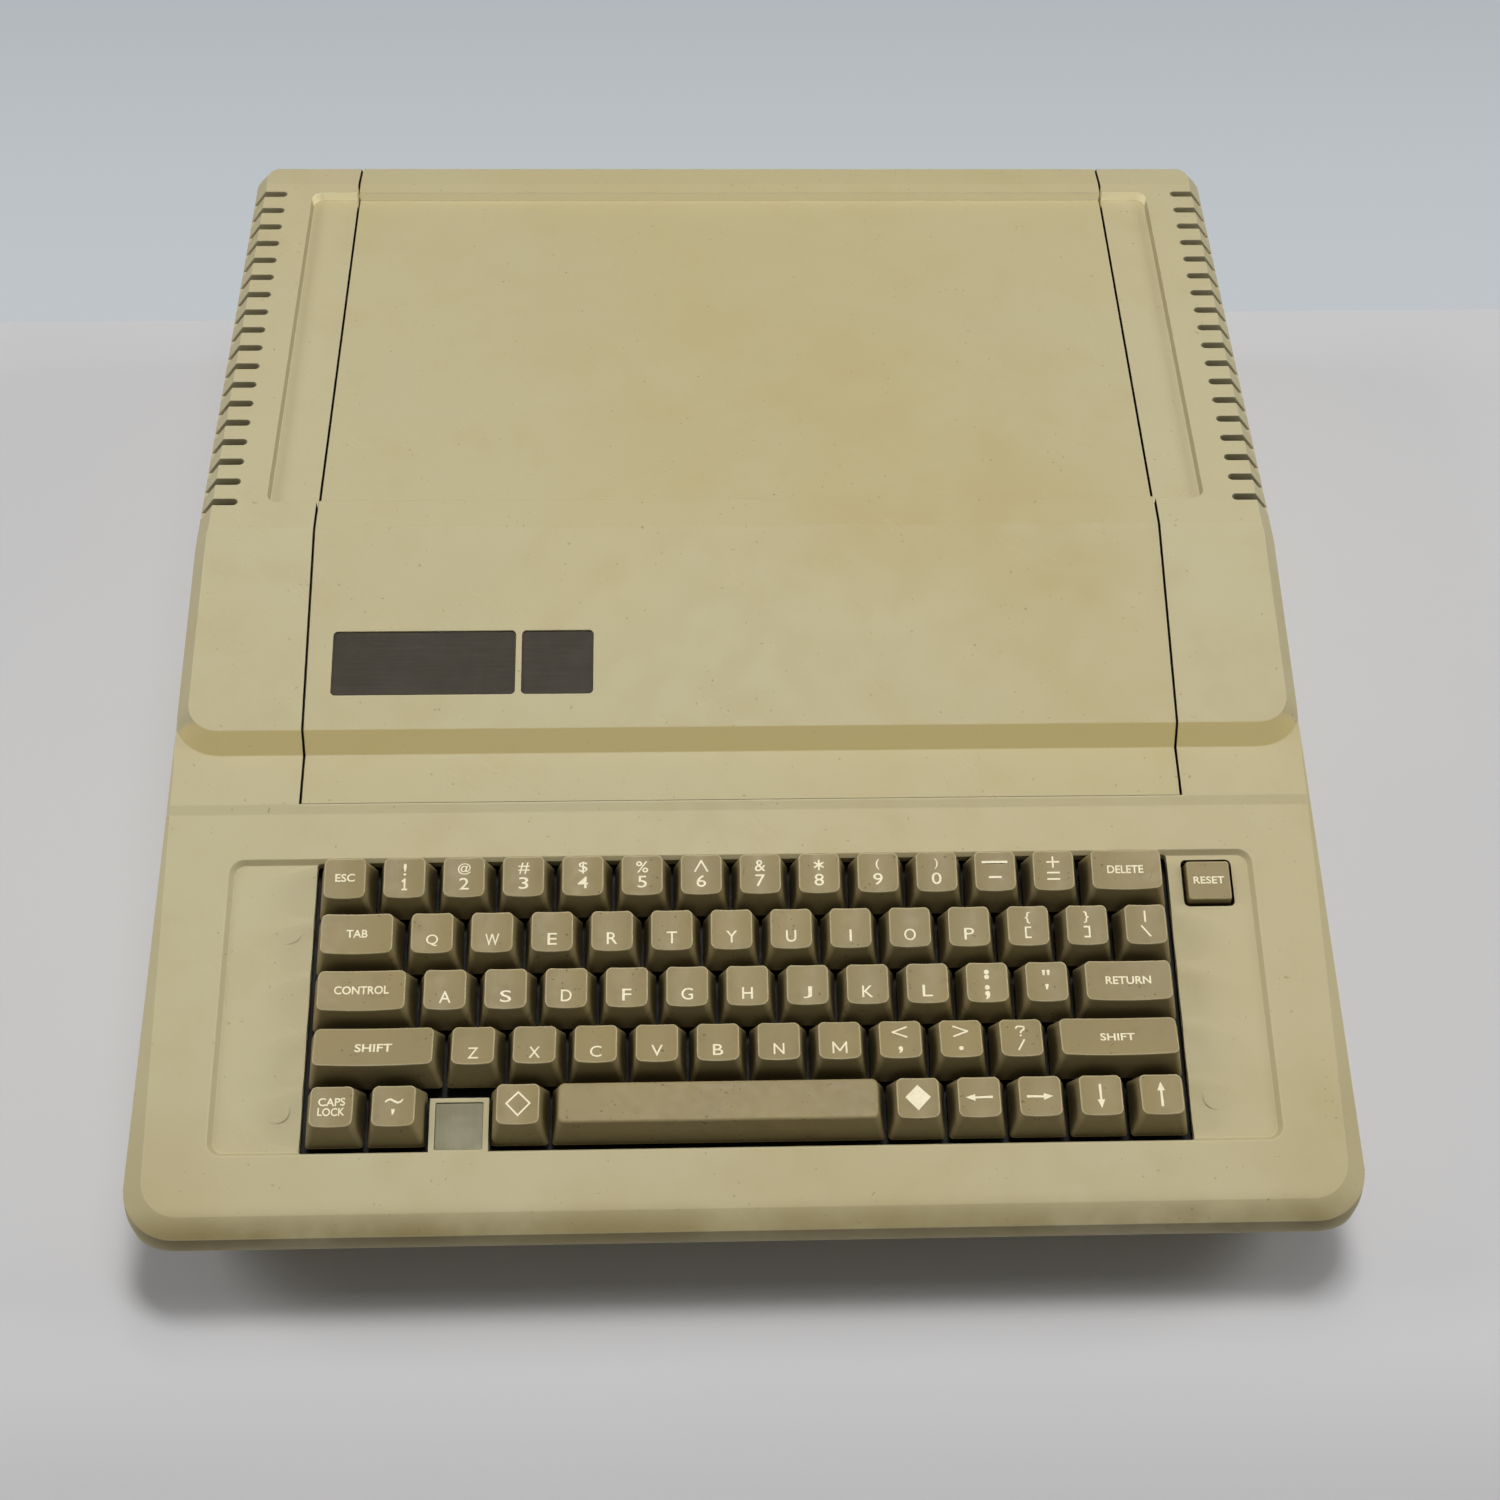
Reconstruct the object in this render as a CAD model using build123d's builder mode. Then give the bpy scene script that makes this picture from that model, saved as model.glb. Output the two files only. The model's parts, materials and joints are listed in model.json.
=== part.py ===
from build123d import *
from math import atan2, cos, degrees, radians, sin, tan
import os

os.makedirs("parts", exist_ok=True)

# A wedge-shaped home computer with a built-in keyboard and a lift-off lid.
# X runs to the right, Y to the back, Z up.  All sizes are in millimetres.

# ---------------------------------------------------------------- main sizes
half_width = 193.0            # at the lip, the widest line of the case
half_depth = 225.0
top_height = 114.0
lip_bottom = 38.2
lip_top = 44.1
case_bottom = 5.5
wall = 3.0
chin_foot_y = -172.0          # where the sloping underside meets the flat bottom
crest_y = 9.6                 # where the front slope meets the flat top
shelf_front_y = -85.0
shelf_front_z = 80.95
step_foot = (-66.8, 84.0)
step_head = (-62.7, 92.2)
deck_front = (-218.9, 48.5)
deck_rear = (-88.0, 79.2)
crease_half_width = 181.8     # flat top, between the side chamfers
chamfer_drop = 7.0
chamfer_run = 5.2

lid_half_width = 145.35
lid_gap = 0.9
lid_flange_bottom = 97.0
recess_half_width = 163.5     # shallow tray across the flat top
recess_front_y = 22.7
recess_rear_y = 193.3
recess_floor = 110.4

vent_count = 18
vent_pitch = 10.0
vent_first_y = 22.5
vent_width = 3.2
vent_inner_x = 173.3

# ---------------------------------------------------------------- keyboard sizes
key_pitch = 19.05
key_gap = 0.95
first_cell_x = -7.25 * key_pitch
first_cell_v = 2.46           # front edge of the first key row, up the deck
keyboard_front_y = -200.6
cap_bottom = -3.28            # heights here are measured square to the deck
cap_inset = 2.5
cap_depth_top = 13.0
cap_setback = 1.2
scoop_depth = 0.9
stem_radius = 2.0
stem_bottom = -9.6
opening_half_width = 139.3
opening_front_v = 0.6
opening_rear_v = 98.5
well_half_width = 167.4       # shallow well round the keyboard
well_rear_v = 99.7
well_depth = 2.0
plate_top = -9.5
plate_thickness = 1.5
keyboard_board_top = -17.0
board_thickness = 1.6
reset_x = 152.15
reset_v = 88.3
lamp_x = -90.1
lamp_frame_rear_v = 17.6

# ---------------------------------------------------------------- inside sizes
base_thickness = 1.5
base_top = case_bottom + base_thickness
main_board_bottom = 13.0
main_board_top = main_board_bottom + board_thickness
main_board_x = (-90.0, 174.0)
main_board_y = (-80.0, 198.0)
panel_front_y = 205.0
panel_thickness = 1.5
panel_rear_y = panel_front_y + panel_thickness
supply_x = (-174.0, -98.0)
supply_y = (-30.0, 204.9)
supply_top = 76.0
inlet_position = (-150.0, 42.0)      # x, z on the back panel
switch_position = (-116.0, 42.0)
rocker_angle = 16.0
screw_radius = 1.5
screw_hole_radius = 1.55
screw_head_radius = 3.0
screw_head_height = 2.0
boss_x = 183.0

deck_angle = degrees(atan2(deck_rear[1] - deck_front[1], deck_rear[0] - deck_front[0]))
deck_slope = tan(radians(deck_angle))
deck_origin_z = deck_front[1] + (keyboard_front_y - deck_front[0]) * deck_slope
deck = Plane(
    origin=(0, keyboard_front_y, deck_origin_z),
    x_dir=(1, 0, 0),
    z_dir=(0, -sin(radians(deck_angle)), cos(radians(deck_angle))),
)
slope_angle = degrees(atan2(top_height - step_head[1], crest_y - step_head[0]))
slope = Plane(
    origin=(0, step_head[0], step_head[1]),
    x_dir=(1, 0, 0),
    z_dir=(0, -sin(radians(slope_angle)), cos(radians(slope_angle))),
)


def on_deck(height):
    """Plane parallel to the keyboard deck at a height above it."""
    return deck.offset(height)


# ---------------------------------------------------------------- key layout
# Each key: (node, width in key units).  Rows run from the space bar upwards.
key_rows = [
    [("key_caps_lock", 1), ("key_grave", 1), (None, 1), ("key_open_lozenge", 1),
     ("key_space", 5.5), ("key_solid_lozenge", 1), ("key_arrow_left", 1),
     ("key_arrow_right", 1), ("key_arrow_down", 1), ("key_arrow_up", 1)],
    [("key_shift_left", 2.25), ("keys_1_q_a_z", 1), ("keys_2_w_s_x", 1),
     ("keys_3_e_d_c", 1), ("keys_4_r_f_v", 1), ("keys_5_t_g_b", 1),
     ("keys_6_y_h_n", 1), ("keys_7_u_j_m", 1), ("keys_8_i_k_comma", 1),
     ("keys_9_o_l_period", 1), ("keys_0_p_semicolon_slash", 1),
     ("key_shift_right", 2.25)],
    [("key_control", 1.75), ("keys_1_q_a_z", 1), ("keys_2_w_s_x", 1),
     ("keys_3_e_d_c", 1), ("keys_4_r_f_v", 1), ("keys_5_t_g_b", 1),
     ("keys_6_y_h_n", 1), ("keys_7_u_j_m", 1), ("keys_8_i_k_comma", 1),
     ("keys_9_o_l_period", 1), ("keys_0_p_semicolon_slash", 1),
     ("keys_hyphen_bracket_quote", 1), ("key_return", 1.75)],
    [("key_tab", 1.5), ("keys_1_q_a_z", 1), ("keys_2_w_s_x", 1),
     ("keys_3_e_d_c", 1), ("keys_4_r_f_v", 1), ("keys_5_t_g_b", 1),
     ("keys_6_y_h_n", 1), ("keys_7_u_j_m", 1), ("keys_8_i_k_comma", 1),
     ("keys_9_o_l_period", 1), ("keys_0_p_semicolon_slash", 1),
     ("keys_hyphen_bracket_quote", 1), ("keys_equals_bracket_backslash", 1),
     ("keys_equals_bracket_backslash", 1)],
    [("key_escape", 1), ("keys_1_q_a_z", 1), ("keys_2_w_s_x", 1),
     ("keys_3_e_d_c", 1), ("keys_4_r_f_v", 1), ("keys_5_t_g_b", 1),
     ("keys_6_y_h_n", 1), ("keys_7_u_j_m", 1), ("keys_8_i_k_comma", 1),
     ("keys_9_o_l_period", 1), ("keys_0_p_semicolon_slash", 1),
     ("keys_hyphen_bracket_quote", 1), ("keys_equals_bracket_backslash", 1),
     ("key_delete", 1.5)],
]
row_top_height = [7.6, 8.1, 7.3, 7.8, 8.3]    # middle of each cap top above the deck
row_top_tilt = [6.0, 12.0, 2.0, -1.0, -4.0]   # positive leans away from the typist


def key_positions():
    """All keys as (node, x centre, centre up the deck, width in units, row)."""
    found = []
    for row, keys in enumerate(key_rows):
        edge = 0.0
        for node, units in keys:
            x = first_cell_x + (edge + units / 2) * key_pitch
            v = first_cell_v + (row + 0.5) * key_pitch
            if node is not None:
                found.append((node, x, v, units, row))
            edge += units
    return found


all_keys = key_positions()


# ---------------------------------------------------------------- case form
def case_outline(recessed):
    """Side view of the case as (y, z) points, with or without the top tray."""
    points = [
        (-half_depth, lip_bottom), (-half_depth, lip_top), deck_front, deck_rear,
        (shelf_front_y, shelf_front_z), step_foot, step_head, (crest_y, top_height),
    ]
    if recessed:
        points += [
            (recess_front_y, top_height), (recess_front_y, recess_floor),
            (recess_rear_y, recess_floor), (recess_rear_y, top_height),
        ]
    points += [(199.0, top_height), (211.0, 112.0), (218.5, 104.0), (half_depth, 40.0)]
    return points


def side_face(points, inset=0.0, x=0.0):
    """Closed side-view face at a given x, shrunk by an inset."""
    with BuildSketch(Plane.YZ.offset(x)) as face:
        with BuildLine():
            Polyline(*points, close=True)
        make_face()
        if inset > 0:
            offset(amount=-inset, kind=Kind.INTERSECTION)
    return face.sketch


def plan_stack(inset, bottom):
    """The case seen from above: rounded rectangles stacked with drafted sides."""
    levels = [
        (bottom, 190.0, -222.0, 223.0, 15.0),
        (40.0, half_width, -half_depth, half_depth, 18.0),
        (107.0, 187.0, -219.0, 218.2, 14.0),
        (top_height, crease_half_width, -214.0, 211.5, 9.0),
    ]
    with BuildPart() as stack:
        for height, half_x, front, rear, radius in levels:
            with BuildSketch(Plane.XY.offset(height)):
                with Locations((0, (front + rear) / 2)):
                    RectangleRounded(
                        2 * (half_x - inset), rear - front - 2 * inset, radius - inset
                    )
        loft(ruled=True)
    return stack.part


def island_outline(half_front, half_back, front_v, back_v, corner):
    """Four-sided outline with its two front corners rounded."""
    with BuildSketch(Plane.XY) as rim:
        Polygon(
            (-half_front, front_v), (half_front, front_v),
            (half_back, back_v), (-half_back, back_v), align=None,
        )
        fillet(rim.vertices().group_by(Axis.Y)[0], radius=corner)
    return rim.sketch


def deck_bevel_tool():
    """What is cut away to leave the bevel round the front of the deck."""
    drop = 5.6
    with BuildPart() as kept:
        with BuildSketch(deck):
            add(island_outline(186.0, 188.9, -18.8, 160.0, 12.0))
        with BuildSketch(on_deck(-drop)):
            add(island_outline(193.9, 196.8, -32.2, 160.0, 20.0))
        loft(ruled=True)
        with BuildSketch(deck):
            add(island_outline(186.0, 188.9, -18.8, 160.0, 12.0))
        extrude(amount=30.0)
    with BuildPart() as tool:
        with BuildSketch(on_deck(-drop)):
            with Locations((0, 40.0)):
                Rectangle(460.0, 194.8)
        extrude(amount=drop + 30.0)
        add(kept.part, mode=Mode.SUBTRACT)
    return tool.part


def slope_trim_tool():
    """What is cut away to round the step and chamfer the sides of the front slope."""
    drop = 8.66
    length = (crest_y - step_head[0]) / cos(radians(slope_angle))
    with BuildPart() as kept:
        with BuildSketch(slope):
            add(island_outline(184.0, crease_half_width, 0.0, length + 20.0, 10.0))
        with BuildSketch(slope.offset(-drop)):
            add(island_outline(190.7, 188.5, -8.18, length + 20.0, 17.0))
        loft(ruled=True)
        with BuildSketch(slope):
            add(island_outline(184.0, crease_half_width, 0.0, length + 20.0, 10.0))
        extrude(amount=30.0)
    shelf_slope = (step_foot[1] - shelf_front_z) / (step_foot[0] - shelf_front_y)
    rear_z = top_height - drop / cos(radians(slope_angle))
    foot_z = rear_z - (crest_y - step_foot[0]) * tan(radians(slope_angle))
    run = (step_foot[1] - foot_z) / (tan(radians(slope_angle)) - shelf_slope)
    meeting = (step_foot[0] + run, step_foot[1] + run * shelf_slope)
    above = top_height + 16.0
    with BuildPart() as tool:
        extrude(
            side_face([
                step_foot, meeting, (crest_y, rear_z), (crest_y, above), (step_foot[0], above)
            ]),
            amount=half_width + 10, both=True,
        )
        add(kept.part, mode=Mode.SUBTRACT)
    return tool.part


def solid_form():
    """The whole wedge as one block, lid included."""
    points = case_outline(False) + [(223.0, case_bottom), (chin_foot_y, case_bottom)]
    with BuildPart() as form:
        add(plan_stack(0.0, case_bottom))
        extrude(side_face(points), amount=half_width + 5, both=True, mode=Mode.INTERSECT)
        add(deck_bevel_tool(), mode=Mode.SUBTRACT)
        add(slope_trim_tool(), mode=Mode.SUBTRACT)
    return form.part


def hollow_outline(recessed):
    """Side view that runs on below the case, for cutting the inside."""
    return case_outline(recessed) + [(half_depth, -20.0), (-half_depth, -20.0)]


def box_between(low, high):
    """Block between two opposite corners."""
    size = [b - a for a, b in zip(low, high)]
    middle = [(a + b) / 2 for a, b in zip(low, high)]
    with BuildPart() as block:
        with Locations(tuple(middle)):
            Box(*size)
    return block.part


def case_room():
    """Room inside the case, open below; a floor stays under the top tray."""
    tray_half = recess_half_width + wall
    with BuildPart() as room:
        extrude(side_face(hollow_outline(True), wall), amount=tray_half, both=True)
        rail = extrude(
            side_face(hollow_outline(False), wall, tray_half),
            amount=half_width - tray_half, mode=Mode.PRIVATE,
        )
        add(rail)
        add(mirror(rail, about=Plane.YZ))
        add(plan_stack(wall, -20.0), mode=Mode.INTERSECT)
        # thicker skin beside the deck, at the ends of the step and under the keyboard well
        for side in (-1, 1):
            with Locations((side * 192.5, -148.0, 65.0)):
                Box(15.0, 164.0, 50.0, mode=Mode.SUBTRACT)
            with Locations((side * 187.0, -60.0, 86.0)):
                Box(22.0, 30.0, 24.0, mode=Mode.SUBTRACT)
        add(
            deck_block(
                0, well_rear_v / 2, 2 * (well_half_width + wall),
                well_rear_v + 2 * wall, -well_depth - wall, 0.0,
            ),
            mode=Mode.SUBTRACT,
        )
    return room.part


def skin(outer, inner, half_x, front, rear, bottom):
    """Strip of case skin between two depths below the outline."""
    with BuildPart() as strip:
        if outer > 0:
            extrude(side_face(hollow_outline(True), outer), amount=half_x, both=True)
        else:
            extrude(side_face(hollow_outline(True)), amount=half_x, both=True)
        extrude(
            side_face(hollow_outline(True), inner),
            amount=half_x + 1, both=True, mode=Mode.SUBTRACT,
        )
        add(
            box_between((-half_x, front, bottom), (half_x, rear, top_height + 1)),
            mode=Mode.INTERSECT,
        )
    return strip.part


def vent_cutter():
    """One vent: a slot with a round inner end that runs out over the chamfer."""
    with BuildPart() as cutter:
        with BuildSketch(Plane.XY.offset(top_height - chamfer_drop)):
            with Locations((vent_inner_x + vent_width / 2, 0)):
                Circle(vent_width / 2)
            with Locations((vent_inner_x + vent_width / 2 + 10.0, 0)):
                Rectangle(20.0, vent_width)
        extrude(amount=chamfer_drop + 1)
    return cutter.part


def scallop_cutter(side, v):
    """Shallow tilted scoop in the well floor beside one key row."""
    reach = 18.0
    dip = 1.0
    radius = 44.0
    start = Vector(side * (opening_half_width - 3.0), v, radius - well_depth - dip * 1.17)
    run = Vector(side * reach, 0, dip)
    begin = deck.from_local_coords(start)
    heading = deck.from_local_coords(start + run) - begin
    with BuildPart() as cutter:
        add(deck_block(
            side * (opening_half_width + 10.0), v, 26.0, key_pitch,
            -well_depth - 1.5, -well_depth + 0.2,
        ))
        with BuildSketch(Plane(origin=begin, z_dir=heading)):
            Circle(radius)
        extrude(amount=reach + 8.0, mode=Mode.INTERSECT)
    return cutter.part


def deck_cylinder(x, v, radius, low, high):
    """Round bar standing square to the deck."""
    with BuildPart() as bar:
        with BuildSketch(on_deck(low)):
            with Locations((x, v)):
                Circle(radius)
        extrude(amount=high - low)
    return bar.part


def deck_block(x, v, size_x, size_v, low, high, corner=0.0):
    """Block standing square to the deck, with optional rounded corners."""
    with BuildPart() as block:
        with BuildSketch(on_deck(low)):
            with Locations((x, v)):
                if corner > 0:
                    RectangleRounded(size_x, size_v, corner)
                else:
                    Rectangle(size_x, size_v)
        extrude(amount=high - low)
    return block.part


def upright_cylinder(x, y, radius, low, high):
    """Round bar standing on its end."""
    with BuildPart() as bar:
        with BuildSketch(Plane.XY.offset(low)):
            with Locations((x, y)):
                Circle(radius)
        extrude(amount=high - low)
    return bar.part


keyboard_posts = [
    (-147.0, 15.0), (-147.0, 75.0), (147.5, 15.0), (147.5, 62.0), (-50.0, -8.0), (50.0, -8.0),
]
base_boss_y = [-120.0, 20.0, 150.0]
frame_half_x = 9.2
lens_half_x = 7.45
lens_v = (0.9, 16.2)


def lamp_frame():
    """Raised frame for the power lamp, reaching in from the deck edge."""
    with BuildPart() as frame:
        add(deck_block(
            lamp_x, (lamp_frame_rear_v - 3.0) / 2, 2 * frame_half_x,
            lamp_frame_rear_v + 3.0, -6.0, 0.0,
        ))
        add(deck_block(
            lamp_x, (lens_v[0] + lens_v[1]) / 2, 2 * lens_half_x,
            lens_v[1] - lens_v[0], -2.6, 1.0, 0.5,
        ), mode=Mode.SUBTRACT)
        add(deck_block(
            lamp_x, (lens_v[0] + lens_v[1]) / 2, 2 * lens_half_x - 2.4,
            lens_v[1] - lens_v[0] - 2.4, -7.0, 0.0, 0.5,
        ), mode=Mode.SUBTRACT)
    return frame.part


def lid_ledge():
    """Ledge that carries the lid along its front and sides."""
    with BuildPart() as ledge:
        add(skin(2.5, lid_ledge_depth, 152.0, -90.0, 204.0, 60.0))
        add(
            box_between((-138.0, -78.0, 50.0), (138.0, 230.0, 120.0)),
            mode=Mode.SUBTRACT,
        )
    return ledge.part


# ---------------------------------------------------------------- case
lid_ledge_depth = 5.6
with BuildPart() as top_case:
    add(solid_form())
    add(case_room(), mode=Mode.SUBTRACT)
    # ledge that carries the lid along its front and sides
    add(lid_ledge())
    add(skin(0.0, 3.1, lid_half_width + lid_gap, shelf_front_y, 230.0, 68.0),
        mode=Mode.SUBTRACT)
    add(box_between((-165.0, 208.0, -5.0), (165.0, 230.0, lid_flange_bottom - 0.5)),
        mode=Mode.SUBTRACT)
    # tray across the flat top
    with BuildSketch(Plane.XY.offset(recess_floor)):
        with Locations((0, (recess_front_y + recess_rear_y) / 2)):
            RectangleRounded(
                2 * recess_half_width - 1.0, recess_rear_y - recess_front_y, 3.5
            )
    extrude(amount=top_height - recess_floor + 0.5, taper=-8.0, mode=Mode.SUBTRACT)
    # vents
    vent = vent_cutter()
    vents = []
    for number in range(vent_count):
        right_vent = Pos(0, vent_first_y + number * vent_pitch, 0) * vent
        vents += [right_vent, mirror(right_vent, about=Plane.YZ)]
    add(vents, mode=Mode.SUBTRACT)
    # posts for the keyboard plate and bosses for the base screws
    posts = [deck_cylinder(x, v, 4.0, plate_top, -2.5) for x, v in keyboard_posts]
    holes = [
        deck_cylinder(x, v, screw_hole_radius, plate_top - 1, -5.0) for x, v in keyboard_posts
    ]
    for side in (-1, 1):
        for y in base_boss_y:
            posts.append(upright_cylinder(side * boss_x, y, 4.0, base_top, 36.0))
            near, far = sorted((side * boss_x, side * 189.0))
            posts.append(box_between((near, y - 1.5, base_top), (far, y + 1.5, 36.0)))
            holes.append(upright_cylinder(side * boss_x, y, screw_hole_radius, 0.0, 18.0))
    # well and opening for the keys
    with BuildSketch(deck):
        with Locations((0, well_rear_v / 2)):
            RectangleRounded(2 * well_half_width, well_rear_v, 5.0)
    extrude(amount=-well_depth, taper=38.0, mode=Mode.SUBTRACT)
    scallops = []
    for row in range(len(key_rows)):
        row_v = first_cell_v + (row + 0.5) * key_pitch
        scallops.append(scallop_cutter(-1, row_v))
        if row < len(key_rows) - 1:
            scallops.append(scallop_cutter(1, row_v))
    add(scallops, mode=Mode.SUBTRACT)
    add([
        deck_block(
            0, (opening_front_v + opening_rear_v) / 2, 2 * opening_half_width,
            opening_rear_v - opening_front_v, -9.0, 3.0, 1.2,
        ),
        deck_block(reset_x, reset_v, 16.7, 16.6, -9.0, 3.0, 1.8),
    ], mode=Mode.SUBTRACT)
    add([lamp_frame()] + posts)
    add(holes, mode=Mode.SUBTRACT)

top_case.part.label = "top_case"
export_step(top_case.part, "parts/top_case.step")

# ---------------------------------------------------------------- lid
badge_recess_depth = 1.2
badge_thickness = 0.5
badge_clearance = 0.15
badge_plates = {
    "badge_plate_large": (-106.65, 61.3),
    "badge_plate_small": (-61.95, 24.1),
}
badge_v = 24.2
badge_height = 23.6
catch_x = 120.0
catch_y = 200.0

with BuildPart() as lid:
    add(skin(0.0, wall, lid_half_width, shelf_front_y + 0.15, 230.0, 70.0))
    add(box_between((-200, 205, 60), (200, 230, lid_flange_bottom)), mode=Mode.SUBTRACT)
    for x, width in badge_plates.values():
        with BuildSketch(slope):
            with Locations((x, badge_v)):
                RectangleRounded(width, badge_height, 1.6)
        extrude(amount=-badge_recess_depth, mode=Mode.SUBTRACT)
    # two stiffening ribs under the tray
    rib_top = recess_floor - wall
    for y in (70.0, 140.0):
        add(box_between((-125.0, y - 1.0, rib_top - 5.0), (125.0, y + 1.0, rib_top + 1.0)))
lid.part.label = "lid"
export_step(lid.part, "parts/lid.step")

for node, (x, width) in badge_plates.items():
    with BuildPart() as badge:
        with BuildSketch(slope.offset(-badge_recess_depth)):
            with Locations((x, badge_v)):
                RectangleRounded(
                    width - 2 * badge_clearance, badge_height - 2 * badge_clearance, 1.45
                )
        extrude(amount=badge_thickness)
        fillet(badge.faces().sort_by(Axis.Z)[-1].edges(), radius=0.15)
    badge.part.label = node
    export_step(badge.part, f"parts/{node}.step")

# studs under the lid that snap into clips on the back panel
stud_half_thickness = 1.3
stud_bottom = 97.5
with BuildPart() as lid_catches:
    for x in (-catch_x, catch_x):
        add(box_between(
            (x - 5.0, catch_y - stud_half_thickness, stud_bottom + 2.0),
            (x + 5.0, catch_y + stud_half_thickness, top_height - wall),
        ))
        add(box_between(
            (x - 4.0, catch_y - stud_half_thickness + 0.4, stud_bottom),
            (x + 4.0, catch_y + stud_half_thickness - 0.4, stud_bottom + 2.5),
        ))
    add(lid.part, mode=Mode.SUBTRACT)
lid_catches.part.label = "lid_catches"
export_step(lid_catches.part, "parts/lid_catches.step")

panel_top = 94.0
with BuildPart() as catch_clips:
    for x in (-catch_x, catch_x):
        add(box_between((x - 7.0, catch_y - 4.5, panel_top), (x + 7.0, catch_y + 4.5, 103.0)))
        add(
            box_between(
                (x - 7.5, catch_y - stud_half_thickness - 0.1, panel_top + 2.0),
                (x + 7.5, catch_y + stud_half_thickness + 0.1, 104.0),
            ),
            mode=Mode.SUBTRACT,
        )
catch_clips.part.label = "catch_clips"
export_step(catch_clips.part, "parts/catch_clips.step")


# ---------------------------------------------------------------- base
chin_slope = (lip_bottom - case_bottom) / (chin_foot_y + half_depth)
chin_front_y = -221.4
chin_front_z = case_bottom + (chin_foot_y - chin_front_y) * chin_slope
base_rear_y = 219.0
base_half_x = 186.5
feet = [(-165.0, -152.0), (165.0, -152.0), (-165.0, 195.0), (165.0, 195.0)]
standoff_points = [
    (-82.0, -72.0), (40.0, -72.0), (166.0, -72.0), (-82.0, 60.0),
    (166.0, 60.0), (-82.0, 188.0), (25.0, 187.0), (166.0, 150.0),
]
panel_screws = [(-60.0, 199.0), (30.0, 199.0), (120.0, 199.0)]
base_screws = [(side * boss_x, y) for side in (-1, 1) for y in base_boss_y] + panel_screws

with BuildPart() as base_plate:
    extrude(
        side_face([
            (chin_front_y, chin_front_z), (chin_foot_y, case_bottom),
            (base_rear_y, case_bottom), (base_rear_y, base_top),
            (chin_foot_y + 0.4, base_top), (chin_front_y, chin_front_z + 1.8),
        ]),
        amount=base_half_x, both=True,
    )
    with BuildSketch(Plane.XY):
        with Locations((0, (chin_front_y + base_rear_y) / 2)):
            RectangleRounded(2 * base_half_x, base_rear_y - chin_front_y, 14.0)
    extrude(amount=50.0, mode=Mode.INTERSECT)
    for x, y in base_screws:
        with Locations((x, y, base_top)):
            Hole(screw_hole_radius, depth=base_thickness)
    # cooling slots under the power supply and the main board
    with BuildSketch(Plane.XY.offset(case_bottom)):
        with GridLocations(24.0, 8.0, 5, 9):
            SlotOverall(18.0, 3.0)
    extrude(amount=base_thickness, mode=Mode.SUBTRACT)
base_plate.part.label = "base_plate"
export_step(base_plate.part, "parts/base_plate.step")

with BuildPart() as rubber_feet:
    for x, y in feet:
        add(upright_cylinder(x, y, 9.0, 0.0, case_bottom))
    fillet(rubber_feet.edges().group_by(Axis.Z)[0], radius=1.2)
rubber_feet.part.label = "rubber_feet"
export_step(rubber_feet.part, "parts/rubber_feet.step")


# ---------------------------------------------------------------- back panel
panel_half_x = 181.0
flange_depth = 12.0
socket_z = 23.0
game_port_x = 55.0
cassette_x = (98.0, 118.0)
video_x = 148.0
inlet_body = (27.0, 19.8)
switch_body = (13.6, 25.0)
port_columns = [(-58.0, 52.0), (8.0, 52.0), (68.0, 44.0), (124.0, 36.0)]
port_rows = [44.0, 62.0, 80.0]
port_height = 12.0
ports = [(x, z, width) for z in port_rows for x, width in port_columns]


def facing_back(y):
    """Plane that looks to the back: local x is the same as X, local y is Z."""
    return Plane(origin=(0, y, 0), x_dir=(1, 0, 0), z_dir=(0, -1, 0))


def panel_hole(x, z, width, height, corner):
    """Rounded hole through the back panel and whatever lies close behind it."""
    with BuildPart() as hole:
        with BuildSketch(facing_back(panel_rear_y + 1)):
            with Locations((x, z)):
                RectangleRounded(width, height, corner)
        extrude(amount=panel_thickness + 4)
    return hole.part


def rear_bar(x, z, radius, front, rear):
    """Round bar pointing to the back."""
    with BuildPart() as bar:
        with BuildSketch(facing_back(rear)):
            with Locations((x, z)):
                Circle(radius)
        extrude(amount=rear - front)
    return bar.part


with BuildPart() as back_panel:
    add(box_between(
        (-panel_half_x, panel_front_y, base_top), (panel_half_x, panel_rear_y, panel_top)
    ))
    add(box_between(
        (-132.0, panel_front_y - flange_depth, panel_top - panel_thickness),
        (132.0, panel_rear_y, panel_top),
    ))
    add(box_between(
        (-94.0, panel_front_y - flange_depth, base_top),
        (panel_half_x, panel_rear_y, base_top + panel_thickness),
    ))
    cuts = [panel_hole(x, z, width, port_height, 3.0) for x, z, width in ports]
    cuts.append(panel_hole(*inlet_position, inlet_body[0] + 0.4, inlet_body[1] + 0.4, 1.0))
    cuts.append(panel_hole(*switch_position, switch_body[0] + 0.3, switch_body[1] + 0.3, 0.8))
    cuts.append(panel_hole(game_port_x, socket_z, 19.0, 11.0, 3.0))
    cuts += [rear_bar(x, socket_z, 4.0, 200.0, 210.0) for x in cassette_x]
    cuts.append(rear_bar(video_x, socket_z, 5.0, 200.0, 210.0))
    cuts += [upright_cylinder(x, y, screw_hole_radius, 0.0, 10.0) for x, y in panel_screws]
    add(cuts, mode=Mode.SUBTRACT)
back_panel.part.label = "back_panel"
export_step(back_panel.part, "parts/back_panel.step")

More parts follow.
